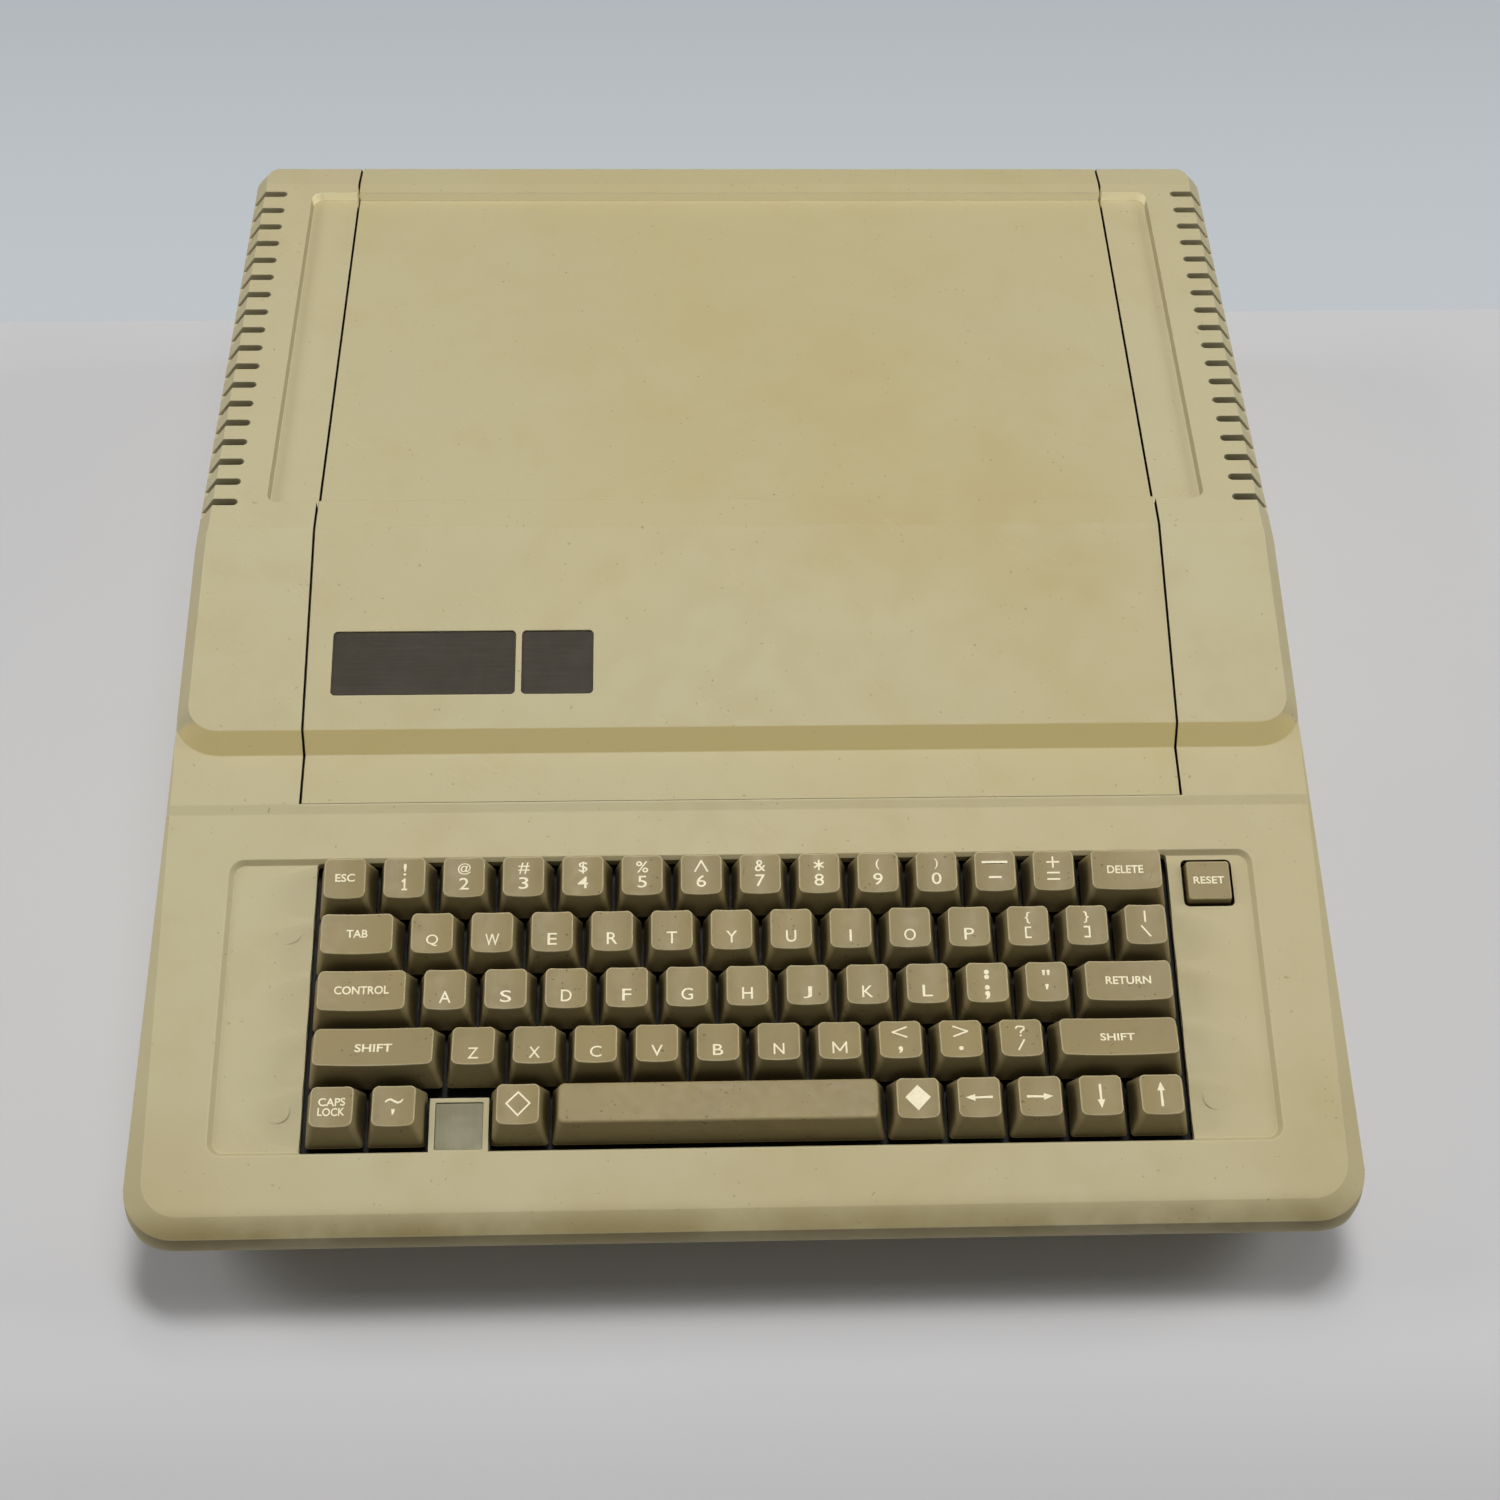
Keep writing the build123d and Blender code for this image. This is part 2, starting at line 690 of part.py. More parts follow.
with BuildPart() as port_covers:
    for x, z, width in ports:
        with BuildSketch(facing_back(panel_rear_y)):
            with Locations((x, z)):
                RectangleRounded(width - 0.2, port_height - 0.2, 2.9)
        extrude(amount=panel_thickness - 0.2)
        with BuildSketch(facing_back(panel_rear_y + 1.2)):
            with Locations((x, z)):
                RectangleRounded(width + 3.0, port_height + 3.0, 4.4)
        extrude(amount=1.2)
    rear_edges = port_covers.faces().group_by(Axis.Y)[-1].edges()
    fillet(rear_edges, radius=0.5)
port_covers.part.label = "port_covers"
export_step(port_covers.part, "parts/port_covers.step")


# ---------------------------------------------------------------- keyboard
plate_bottom = plate_top - plate_thickness
keyboard_board_bottom = keyboard_board_top - board_thickness
switch_cutout = 14.0
housing_hole_radius = 2.07
space_guides = 42.0
guide_radius = 1.5
cable_x = 70.0
cable_v = 90.0
connector_bottom = -26.0
switch_points = [(x, v) for node, x, v, units, row in all_keys] + [(reset_x, reset_v)]
space_x, space_v = [(x, v) for node, x, v, units, row in all_keys if node == "key_space"][0]
guide_points = [(space_x - space_guides, space_v), (space_x + space_guides, space_v)]

with BuildPart() as keyboard_plate:
    with BuildSketch(on_deck(plate_bottom)):
        with Locations((5.0, 45.0)):
            RectangleRounded(316.0, 116.0, 4.0)
        with Locations(*switch_points):
            Rectangle(switch_cutout, switch_cutout, mode=Mode.SUBTRACT)
        with Locations(*keyboard_posts):
            Circle(screw_hole_radius, mode=Mode.SUBTRACT)
        with Locations(*guide_points):
            Circle(guide_radius + 0.07, mode=Mode.SUBTRACT)
        with Locations((lamp_x, sum(lens_v) / 2)):
            Circle(3.0, mode=Mode.SUBTRACT)
    extrude(amount=plate_thickness)
keyboard_plate.part.label = "keyboard_plate"
export_step(keyboard_plate.part, "parts/keyboard_plate.step")

with BuildPart() as keyboard_board:
    with BuildSketch(on_deck(keyboard_board_bottom)):
        with Locations((10.0, 50.0)):
            RectangleRounded(302.0, 104.0, 2.0)
    extrude(amount=board_thickness)
    add(deck_block(cable_x, cable_v, 34.0, 8.0, connector_bottom, keyboard_board_bottom))
keyboard_board.part.label = "keyboard_board"
export_step(keyboard_board.part, "parts/keyboard_board.step")

with BuildPart() as switch_body_form:
    with BuildSketch(on_deck(keyboard_board_top)):
        Rectangle(switch_cutout - 0.1, switch_cutout - 0.1)
    extrude(amount=plate_top - keyboard_board_top)
    with BuildSketch(on_deck(plate_top)):
        Rectangle(15.6, 15.6)
    extrude(amount=1.0)
    with BuildSketch(on_deck(plate_top + 1.0)):
        Rectangle(11.6, 11.6)
    extrude(amount=3.9, taper=2.0)
    with BuildSketch(on_deck(keyboard_board_top + 1.5)):
        Circle(housing_hole_radius)
    extrude(amount=13.0, mode=Mode.SUBTRACT)
origin_on_deck = deck.from_local_coords((0, 0, 0))
with BuildPart() as key_switches:
    copies = []
    for x, v in switch_points:
        shift = deck.from_local_coords((x, v, 0)) - origin_on_deck
        copies.append(Pos(*shift) * switch_body_form.part)
    add(copies)
key_switches.part.label = "key_switches"
export_step(key_switches.part, "parts/key_switches.step")


def keycap(x, v, units, row, straight_top=False):
    """Hollow cap with a dished top and a round stem that slides in its switch."""
    half_x = (units * key_pitch - key_gap) / 2
    size_v = key_pitch - key_gap
    half_top = half_x - cap_inset
    top_frame = deck.location * Location(
        (x, v + cap_setback, row_top_height[row]), (-row_top_tilt[row], 0, 0)
    )
    top_plane = Plane(top_frame)
    with BuildPart() as cap:
        with BuildSketch(on_deck(cap_bottom)):
            with Locations((x, v)):
                RectangleRounded(2 * half_x, size_v, 1.4)
        with BuildSketch(top_plane):
            RectangleRounded(2 * half_top, cap_depth_top, 2.0)
        loft(ruled=True)
        if straight_top:
            fillet(cap.faces().sort_by(Axis(deck.origin, deck.z_dir))[-1].edges(), radius=0.9)
        else:
            dish = (half_top**2 + scoop_depth**2) / (2 * scoop_depth)
            with BuildSketch(Plane(top_frame * Location((0, 0, 0), (90, 0, 0)))):
                with Locations((0, dish - scoop_depth)):
                    Circle(dish)
            extrude(amount=14.0, both=True, mode=Mode.SUBTRACT)
        with BuildSketch(on_deck(cap_bottom)):
            with Locations((x, v)):
                Rectangle(2 * half_x - 2.6, size_v - 2.6)
        with BuildSketch(top_plane.offset(-2.4)):
            Rectangle(2 * half_top - 2.4, cap_depth_top - 2.4)
        loft(ruled=True, mode=Mode.SUBTRACT)
        add(deck_cylinder(x, v, stem_radius, stem_bottom, row_top_height[row] - 2.0))
        if straight_top:
            for guide_x, guide_v in guide_points:
                add(deck_cylinder(
                    guide_x, guide_v, guide_radius, -12.6, row_top_height[row] - 2.0
                ))
    return cap.part


key_nodes = []
for node, *rest in all_keys:
    if node not in key_nodes:
        key_nodes.append(node)
for node in key_nodes:
    caps = [keycap(*key[1:], node == "key_space") for key in all_keys if key[0] == node]
    with BuildPart() as key:
        add(caps)
    key.part.label = node
    export_step(key.part, f"parts/{node}.step")

with BuildPart() as key_reset:
    with BuildSketch(on_deck(-5.0)):
        with Locations((reset_x, reset_v)):
            RectangleRounded(15.2, 14.6, 1.2)
    with BuildSketch(on_deck(0.5)):
        with Locations((reset_x, reset_v)):
            RectangleRounded(14.1, 13.4, 1.0)
    loft(ruled=True)
    fillet(key_reset.faces().sort_by(Axis(deck.origin, deck.z_dir))[-1].edges(), radius=0.4)
    with BuildSketch(on_deck(-5.0)):
        with Locations((reset_x, reset_v)):
            Rectangle(13.2, 12.8)
    with BuildSketch(on_deck(-1.0)):
        with Locations((reset_x, reset_v)):
            Rectangle(12.2, 12.0)
    loft(ruled=True, mode=Mode.SUBTRACT)
    add(deck_cylinder(reset_x, reset_v, stem_radius, stem_bottom, -0.6))
key_reset.part.label = "key_reset"
export_step(key_reset.part, "parts/key_reset.step")

lens_mid_v = sum(lens_v) / 2
lens_length = lens_v[1] - lens_v[0]
with BuildPart() as lamp_lens:
    add(deck_block(
        lamp_x, lens_mid_v, 2 * lens_half_x - 0.2, lens_length - 0.2, -2.5, -0.5, 0.4
    ))
    add(deck_block(
        lamp_x, lens_mid_v, 2 * lens_half_x - 2.7, lens_length - 2.7, -5.4, -2.5, 0.4
    ))
lamp_lens.part.label = "lamp_lens"
export_step(lamp_lens.part, "parts/lamp_lens.step")

with BuildPart() as lamp:
    add(deck_cylinder(lamp_x, lens_mid_v, 2.5, keyboard_board_top, -8.0))
    fillet(lamp.edges().sort_by(Axis(deck.origin, deck.z_dir))[-1], radius=1.8)
lamp.part.label = "lamp"
export_step(lamp.part, "parts/lamp.step")

keyboard_header = (cable_x, -62.0)
header_top = 24.0
with BuildPart() as keyboard_cable:
    start = deck.from_local_coords((cable_x, cable_v, connector_bottom))
    bend_point = deck.from_local_coords((cable_x, cable_v, connector_bottom - 14.0))
    with BuildLine() as cable_path:
        FilletPolyline(
            start, bend_point, (cable_x, keyboard_header[1], bend_point.Z),
            (cable_x, keyboard_header[1], header_top), radius=8.0,
        )
    with BuildSketch(Plane(origin=start, x_dir=(1, 0, 0), z_dir=-deck.z_dir)):
        Rectangle(30.0, 1.0)
    sweep(path=cable_path.line)
keyboard_cable.part.label = "keyboard_cable"
export_step(keyboard_cable.part, "parts/keyboard_cable.step")


# ---------------------------------------------------------------- main board
lead_y = 30.0
lead_z = 50.0
lead_x = -78.0
speaker_centre = (-125.0, -118.0)
speaker_radius = 28.5
speaker_lead_z = 26.7
speaker_header = (-60.0, -72.0)

with BuildPart() as main_board:
    add(box_between(
        (main_board_x[0], main_board_y[0], main_board_bottom),
        (main_board_x[1], main_board_y[1], main_board_top),
    ))
    fillet(main_board.edges().filter_by(Axis.Z), radius=3.0)
    x, y = keyboard_header
    headers = [box_between((x - 17, y - 4, main_board_top), (x + 17, y + 4, header_top))]
    headers.append(box_between(
        (lead_x - 5, lead_y - 12, main_board_top), (lead_x + 5, lead_y + 12, 20.0)
    ))
    x, y = speaker_header
    headers.append(box_between((x - 3, y - 3, main_board_top), (x + 3, y + 3, 16.6)))
    add(headers)
    drills = [
        upright_cylinder(x, y, screw_hole_radius, 10.0, 16.0) for x, y in standoff_points
    ]
    add(drills, mode=Mode.SUBTRACT)
main_board.part.label = "main_board"
export_step(main_board.part, "parts/main_board.step")

with BuildPart() as board_standoffs:
    for x, y in standoff_points:
        add(upright_cylinder(x, y, 3.0, base_top, main_board_bottom))
        add(upright_cylinder(x, y, screw_hole_radius, base_top, 14.0), mode=Mode.SUBTRACT)
board_standoffs.part.label = "board_standoffs"
export_step(board_standoffs.part, "parts/board_standoffs.step")


def card_slot(x, y, length):
    """Edge connector: a long block with a groove for a card."""
    with BuildPart() as slot:
        add(box_between(
            (x - 4.5, y - length / 2, main_board_top), (x + 4.5, y + length / 2, 28.6)
        ))
        chamfer(slot.edges().group_by(Axis.Z)[-1], length=0.6)
        add(
            box_between(
                (x - 1.2, y - length / 2 + 3, 18.6), (x + 1.2, y + length / 2 - 3, 30.0)
            ),
            mode=Mode.SUBTRACT,
        )
    return slot.part


with BuildPart() as expansion_slots:
    slots = [card_slot(-40.0 + 22.9 * number, 130.0, 74.0) for number in range(7)]
    slots.append(card_slot(-62.0, 96.0, 90.0))
    add(slots)
expansion_slots.part.label = "expansion_slots"
export_step(expansion_slots.part, "parts/expansion_slots.step")


def chip(pins, width):
    """Dual in-line chip drawn at the origin, long way along X."""
    length = pins / 2 * 2.54 - 0.4
    with BuildPart() as body:
        with BuildSketch(Plane.XY.offset(main_board_top + 0.8)):
            Rectangle(length, width - 1.2)
        extrude(amount=3.4)
        with BuildSketch(Plane.XY.offset(main_board_top)):
            with GridLocations(2.54, width - 0.9, pins // 2, 2):
                Rectangle(0.8, 0.9)
        extrude(amount=2.4)
        with Locations((-length / 2, 0, main_board_top + 4.2)):
            Cylinder(1.0, 1.0, mode=Mode.SUBTRACT)
    return body.part


with BuildPart() as chips:
    small = chip(16, 7.6)
    medium = chip(28, 15.2)
    large = chip(40, 15.2)
    placed = [Location((-40.0 + 11.5 * n, -50.0, 0), (0, 0, 90)) * small for n in range(8)]
    placed += [Location((x, -18.0, 0)) * large for x in (-30.0, 32.0, 94.0)]
    placed += [Location((x, 8.0, 0)) * medium for x in (-35.0, 12.0, 59.0)]
    placed += [
        Location((x, y, 0)) * small for y in (34.0, 54.0)
        for x in (-30.0, 4.0, 38.0, 72.0, 106.0, 140.0)
    ]
    add(placed)
chips.part.label = "chips"
export_step(chips.part, "parts/chips.step")

with BuildPart() as rear_sockets:
    low = main_board_top
    for x in cassette_x:
        add(box_between((x - 5.5, 188.0, low), (x + 5.5, 204.8, socket_z + 5.0)))
        add(rear_bar(x, socket_z, 3.9, 204.0, 208.0))
        add(rear_bar(x, socket_z, 1.8, 192.0, 209.0), mode=Mode.SUBTRACT)
    add(box_between((video_x - 6.5, 186.0, low), (video_x + 6.5, 204.8, socket_z + 6.5)))
    add(rear_bar(video_x, socket_z, 4.2, 204.0, 214.5))
    add(rear_bar(video_x, socket_z, 3.4, 206.0, 215.0), mode=Mode.SUBTRACT)
    add(rear_bar(video_x, socket_z, 2.6, 205.5, 212.0))
    add(rear_bar(video_x, socket_z, 1.6, 204.5, 213.0), mode=Mode.SUBTRACT)
    add(box_between((game_port_x - 15.5, 190.0, low), (game_port_x + 15.5, 204.8, 30.0)))
    with BuildSketch(facing_back(211.0)):
        with Locations((game_port_x, socket_z)):
            RectangleRounded(17.6, 9.0, 2.6)
    extrude(amount=7.0)
    with BuildSketch(facing_back(211.0)):
        with Locations((game_port_x, socket_z)):
            RectangleRounded(16.4, 7.8, 2.2)
    extrude(amount=5.0, mode=Mode.SUBTRACT)
rear_sockets.part.label = "rear_sockets"
export_step(rear_sockets.part, "parts/rear_sockets.step")


# ---------------------------------------------------------------- power supply
sheet = 1.0
supply_low = (supply_x[0], supply_y[0], base_top)
supply_high = (supply_x[1], supply_y[1], supply_top)
with BuildPart() as power_supply_case:
    add(box_between(supply_low, supply_high))
    fillet(power_supply_case.edges().filter_by(Axis.Y), radius=1.2)
    add(
        box_between(
            [value + sheet for value in supply_low], [value - sheet for value in supply_high]
        ),
        mode=Mode.SUBTRACT,
    )
    cuts = [
        panel_hole(*inlet_position, inlet_body[0] + 0.4, inlet_body[1] + 0.4, 1.0),
        panel_hole(*switch_position, switch_body[0] + 0.3, switch_body[1] + 0.3, 0.8),
    ]
    add(cuts, mode=Mode.SUBTRACT)
    with BuildSketch(Plane.XY.offset(supply_top - sheet - 0.5)):
        with Locations((sum(supply_x) / 2, 90.0)):
            with GridLocations(12.0, 8.0, 5, 12):
                SlotOverall(9.0, 2.6)
    extrude(amount=sheet + 1, mode=Mode.SUBTRACT)
    with BuildSketch(Plane.YZ.offset(supply_x[1] - sheet - 0.5)):
        with Locations((lead_y, lead_z)):
            Circle(3.6)
    extrude(amount=sheet + 1, mode=Mode.SUBTRACT)
power_supply_case.part.label = "power_supply_case"
export_step(power_supply_case.part, "parts/power_supply_case.step")

supply_floor = base_top + sheet
supply_board_top = supply_floor + 4.6
with BuildPart() as power_supply_board:
    add(box_between((-168.0, -20.0, supply_floor + 3.0), (-104.0, 172.0, supply_board_top)))
    for x in (-164.0, -108.0):
        for y in (-16.0, 168.0):
            add(upright_cylinder(x, y, 3.0, supply_floor, supply_floor + 3.5))
power_supply_board.part.label = "power_supply_board"
export_step(power_supply_board.part, "parts/power_supply_board.step")

with BuildPart() as supply_components:
    add(box_between((-160.0, 66.0, supply_board_top), (-120.0, 108.0, 50.0)))
    fillet(supply_components.edges().filter_by(Axis.Z), radius=3.0)
    for x, y in [(-154.0, 130.0), (-132.0, 130.0), (-154.0, -2.0)]:
        add(upright_cylinder(x, y, 8.5, supply_board_top, 44.0))
    add(upright_cylinder(-150.0, 30.0, 11.0, supply_board_top, 24.0))
    add(upright_cylinder(-150.0, 30.0, 5.0, supply_board_top, 24.0), mode=Mode.SUBTRACT)
supply_components.part.label = "power_supply_components"
export_step(supply_components.part, "parts/power_supply_components.step")

inlet_rear_y = panel_rear_y + 2.2
with BuildPart() as power_inlet:
    with BuildSketch(facing_back(inlet_rear_y)):
        with Locations(inlet_position):
            RectangleRounded(32.0, 24.0, 4.0)
    extrude(amount=inlet_rear_y - panel_rear_y)
    fillet(power_inlet.faces().sort_by(Axis.Y)[-1].edges(), radius=0.6)
    with BuildSketch(facing_back(panel_rear_y)):
        with Locations(inlet_position):
            RectangleRounded(inlet_body[0], inlet_body[1], 0.9)
    extrude(amount=21.0)
    with BuildSketch(facing_back(inlet_rear_y)):
        with Locations(inlet_position):
            Rectangle(24.0, 16.4)
        chamfer(vertices().group_by(Axis.Y)[-1], length=4.5)
    extrude(amount=17.5, mode=Mode.SUBTRACT)
    with BuildSketch(facing_back(inlet_rear_y - 3.5)):
        x, z = inlet_position
        with Locations((x - 7.0, z - 1.5), (x + 7.0, z - 1.5), (x, z + 2.5)):
            Rectangle(2.0, 4.0)
    extrude(amount=15.0)
power_inlet.part.label = "power_inlet"
export_step(power_inlet.part, "parts/power_inlet.step")

pivot_y = 204.5
pivot_radius = 1.0
with BuildPart() as power_switch_frame:
    frame_rear_y = panel_rear_y + 1.8
    with BuildSketch(facing_back(frame_rear_y)):
        with Locations(switch_position):
            RectangleRounded(17.0, 28.4, 1.5)
    extrude(amount=frame_rear_y - panel_rear_y)
    fillet(power_switch_frame.faces().sort_by(Axis.Y)[-1].edges(), radius=0.5)
    with BuildSketch(facing_back(panel_rear_y)):
        with Locations(switch_position):
            Rectangle(*switch_body)
    extrude(amount=15.0)
    with BuildSketch(facing_back(frame_rear_y)):
        with Locations(switch_position):
            Rectangle(11.2, 22.2)
    extrude(amount=frame_rear_y - 194.0, mode=Mode.SUBTRACT)
    with BuildSketch(Plane.YZ.offset(switch_position[0] - 6.35)):
        with Locations((pivot_y, switch_position[1])):
            Circle(pivot_radius + 0.05)
    extrude(amount=12.7, mode=Mode.SUBTRACT)
power_switch_frame.part.label = "power_switch_frame"
export_step(power_switch_frame.part, "parts/power_switch_frame.step")

lean = radians(rocker_angle / 2)
rocker_plane = Plane(
    origin=(switch_position[0], pivot_y, switch_position[1]),
    x_dir=(0, cos(lean), sin(lean)),
    z_dir=(1, 0, 0),
)
with BuildPart() as power_switch:
    with BuildSketch(rocker_plane):
        Polygon(
            (6.5, -10.0), (4.4, 0), (6.5, 10.0), (-1.0, 9.6), (-4.5, 3.0), (-4.5, -3.0),
            (-1.0, -9.6), align=None,
        )
    extrude(amount=5.4, both=True)
    fillet(power_switch.edges().filter_by(Axis.X).group_by(Axis.Y)[-1], radius=0.6)
    with BuildSketch(rocker_plane):
        Circle(pivot_radius)
    extrude(amount=6.2, both=True)
power_switch.part.label = "power_switch"
export_step(power_switch.part, "parts/power_switch.step")

with BuildPart() as power_lead:
    with BuildLine() as lead_path:
        FilletPolyline(
            (-112.0, lead_y, supply_board_top), (-112.0, lead_y, lead_z),
            (lead_x, lead_y, lead_z), (lead_x, lead_y, 27.0), radius=11.0,
        )
    with BuildSketch(Plane.XY.offset(supply_board_top)):
        with Locations((-112.0, lead_y)):
            Circle(3.5)
    sweep(path=lead_path.line)
    add(box_between((lead_x - 4.5, lead_y - 11.5, 20.0), (lead_x + 4.5, lead_y + 11.5, 27.0)))
power_lead.part.label = "power_lead"
export_step(power_lead.part, "parts/power_lead.step")


# ---------------------------------------------------------------- speaker
with BuildPart() as speaker:
    with BuildSketch(Plane.XZ):
        Polygon(
            (0, 0), (14.0, 0), (14.0, 9.0), (28.5, 18.5), (28.5, 21.0), (25.5, 21.0),
            (24.5, 19.6), (9.0, 12.5), (6.0, 14.0), (0, 15.0), align=None,
        )
    revolve(axis=Axis.Z)
speaker_piece = Pos(speaker_centre[0], speaker_centre[1], base_top) * speaker.part
speaker_piece.label = "speaker"
export_step(speaker_piece, "parts/speaker.step")

with BuildPart() as speaker_lead:
    lead_start = (speaker_centre[0] + speaker_radius, speaker_centre[1], speaker_lead_z)
    x, y = speaker_header
    with BuildLine() as wire_path:
        FilletPolyline(
            lead_start, (x, speaker_centre[1], speaker_lead_z), (x, y, speaker_lead_z),
            (x, y, 20.6), radius=5.0,
        )
    with BuildSketch(Plane(origin=lead_start, z_dir=(1, 0, 0))):
        Circle(1.2)
    sweep(path=wire_path.line)
    add(box_between((x - 2.8, y - 2.8, 16.6), (x + 2.8, y + 2.8, 20.6)))
speaker_lead.part.label = "speaker_lead"
export_step(speaker_lead.part, "parts/speaker_lead.step")


# ---------------------------------------------------------------- screws
def screw(frame, grip):
    """Round-headed screw; the frame sits at the top of the shank, under the head."""
    with BuildPart() as piece:
        with BuildSketch(Plane(frame)):
            Circle(screw_head_radius)
        extrude(amount=screw_head_height)
        fillet(piece.edges().sort_by(SortBy.LENGTH)[-1:], radius=0.6)
        with BuildSketch(Plane(frame)):
            Circle(screw_radius)
        extrude(amount=-grip)
    return piece.part


with BuildPart() as screws:
    pieces = []
    for x, y in standoff_points:
        pieces.append(screw(Location((x, y, main_board_top)), 6.0))
    for x, y in base_screws:
        grip = 3.0 if (x, y) in panel_screws else 10.0
        pieces.append(screw(Location((x, y, case_bottom), (180, 0, 0)), grip))
    for x, v in keyboard_posts:
        pieces.append(screw(
            deck.location * Location((x, v, plate_bottom), (180, 0, 0)), 5.5
        ))
    add(pieces)
screws.part.label = "screws"
export_step(screws.part, "parts/screws.step")
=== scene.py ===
import json
import math

import bpy
from mathutils import Matrix, Vector
from mathutils.bvhtree import BVHTree


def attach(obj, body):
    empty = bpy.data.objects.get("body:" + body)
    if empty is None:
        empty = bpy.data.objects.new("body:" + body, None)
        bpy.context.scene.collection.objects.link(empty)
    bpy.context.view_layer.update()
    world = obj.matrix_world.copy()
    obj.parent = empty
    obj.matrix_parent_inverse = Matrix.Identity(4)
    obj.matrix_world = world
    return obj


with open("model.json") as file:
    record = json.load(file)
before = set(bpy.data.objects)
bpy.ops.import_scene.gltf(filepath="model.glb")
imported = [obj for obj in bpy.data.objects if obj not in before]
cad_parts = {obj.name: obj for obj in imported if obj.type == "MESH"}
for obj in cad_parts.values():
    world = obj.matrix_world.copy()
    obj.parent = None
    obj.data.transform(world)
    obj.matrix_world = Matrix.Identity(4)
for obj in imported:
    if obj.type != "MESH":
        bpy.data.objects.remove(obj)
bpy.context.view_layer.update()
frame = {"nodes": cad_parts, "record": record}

MM = 0.001


# ------------------------------------------------------------------ colours
def srgb(red, green, blue):
    """Screen colour, 0 to 255, as the linear colour that a shader takes."""
    found = []
    for value in (red, green, blue):
        value /= 255
        found.append(value / 12.92 if value <= 0.04045 else ((value + 0.055) / 1.055) ** 2.4)
    return (*found, 1.0)


# ------------------------------------------------------------------ node helper
SHEEN = 0.3


class Look:
    """One node material, built up step by step."""

    def __init__(self, name):
        self.material = bpy.data.materials.new(name)
        self.material.use_nodes = True
        self.tree = self.material.node_tree
        self.shader = self.tree.nodes["Principled BSDF"]
        self.shader.inputs["Specular IOR Level"].default_value = SHEEN
        self.place = self.add("ShaderNodeTexCoord").outputs["Object"]

    def add(self, kind, **settings):
        node = self.tree.nodes.new(kind)
        for key, value in settings.items():
            setattr(node, key, value)
        return node

    def feed(self, socket, value):
        if isinstance(value, bpy.types.NodeSocket):
            self.tree.links.new(value, socket)
        else:
            socket.default_value = value

    def stretched(self, scale, turn=(0, 0, 0)):
        """Object coordinates, turned and then scaled along each axis."""
        turned = self.add("ShaderNodeVectorRotate", rotation_type="EULER_XYZ")
        self.feed(turned.inputs["Vector"], self.place)
        turned.inputs["Rotation"].default_value = turn
        scaled = self.add("ShaderNodeVectorMath", operation="MULTIPLY")
        self.feed(scaled.inputs[0], turned.outputs["Vector"])
        scaled.inputs[1].default_value = scale
        return scaled.outputs["Vector"]

    def noise(self, scale, detail=2.0, roughness=0.5, vector=None, distortion=0.0):
        node = self.add("ShaderNodeTexNoise")
        self.feed(node.inputs["Vector"], vector or self.place)
        node.inputs["Scale"].default_value = scale
        node.inputs["Detail"].default_value = detail
        node.inputs["Roughness"].default_value = roughness
        node.inputs["Distortion"].default_value = distortion
        return node.outputs["Fac"]

    def grade(self, value, low, high, start=0.0, end=1.0, smooth=True):
        """The value's range low..high turned into start..end."""
        node = self.add("ShaderNodeMapRange", clamp=True)
        if smooth:
            node.interpolation_type = "SMOOTHSTEP"
        self.feed(node.inputs["Value"], value)
        node.inputs["From Min"].default_value = low
        node.inputs["From Max"].default_value = high
        node.inputs["To Min"].default_value = start
        node.inputs["To Max"].default_value = end
        return node.outputs["Result"]

    def math(self, operation, first, second=0.0):
        node = self.add("ShaderNodeMath", operation=operation)
        self.feed(node.inputs[0], first)
        self.feed(node.inputs[1], second)
        return node.outputs["Value"]

    def blend(self, amount, first, second):
        """Colour mix."""
        node = self.add("ShaderNodeMix", data_type="RGBA")
        self.feed(node.inputs[0], amount)
        self.feed(node.inputs[6], first)
        self.feed(node.inputs[7], second)
        return node.outputs[2]

    def part(self, axis):
        """One coordinate of the object's own place."""
        node = self.add("ShaderNodeSeparateXYZ")
        self.feed(node.inputs[0], self.place)
        return node.outputs[axis]

    def spot(self, centre, radius, squeeze):
        """1 at a place, fading to 0 at a radius; squeeze makes it oval."""
        away = self.add("ShaderNodeVectorMath", operation="SUBTRACT")
        self.feed(away.inputs[0], self.place)
        away.inputs[1].default_value = centre
        oval = self.add("ShaderNodeVectorMath", operation="MULTIPLY")
        self.feed(oval.inputs[0], away.outputs["Vector"])
        oval.inputs[1].default_value = squeeze
        length = self.add("ShaderNodeVectorMath", operation="LENGTH")
        self.feed(length.inputs[0], oval.outputs["Vector"])
        return self.grade(length.outputs["Value"], 0.0, radius, 1.0, 0.0)

    def rounded(self, radius):
        """Normal that rounds the edges off in the shading."""
        node = self.add("ShaderNodeBevel", samples=6)
        node.inputs["Radius"].default_value = radius
        return node.outputs["Normal"]

    def edge_mask(self, normal):
        """1 along edges, 0 on flat faces."""
        flat = self.add("ShaderNodeNewGeometry").outputs["True Normal"]
        node = self.add("ShaderNodeVectorMath", operation="DOT_PRODUCT")
        self.feed(node.inputs[0], flat)
        self.feed(node.inputs[1], normal)
        return self.grade(node.outputs["Value"], 0.997, 0.93)

    def hidden(self, reach, deep, shallow):
        """1 deep in a gap, 0 out in the open."""
        node = self.add("ShaderNodeAmbientOcclusion", samples=8)
        node.inputs["Distance"].default_value = reach
        return self.grade(node.outputs["AO"], deep, shallow, 1.0, 0.0)

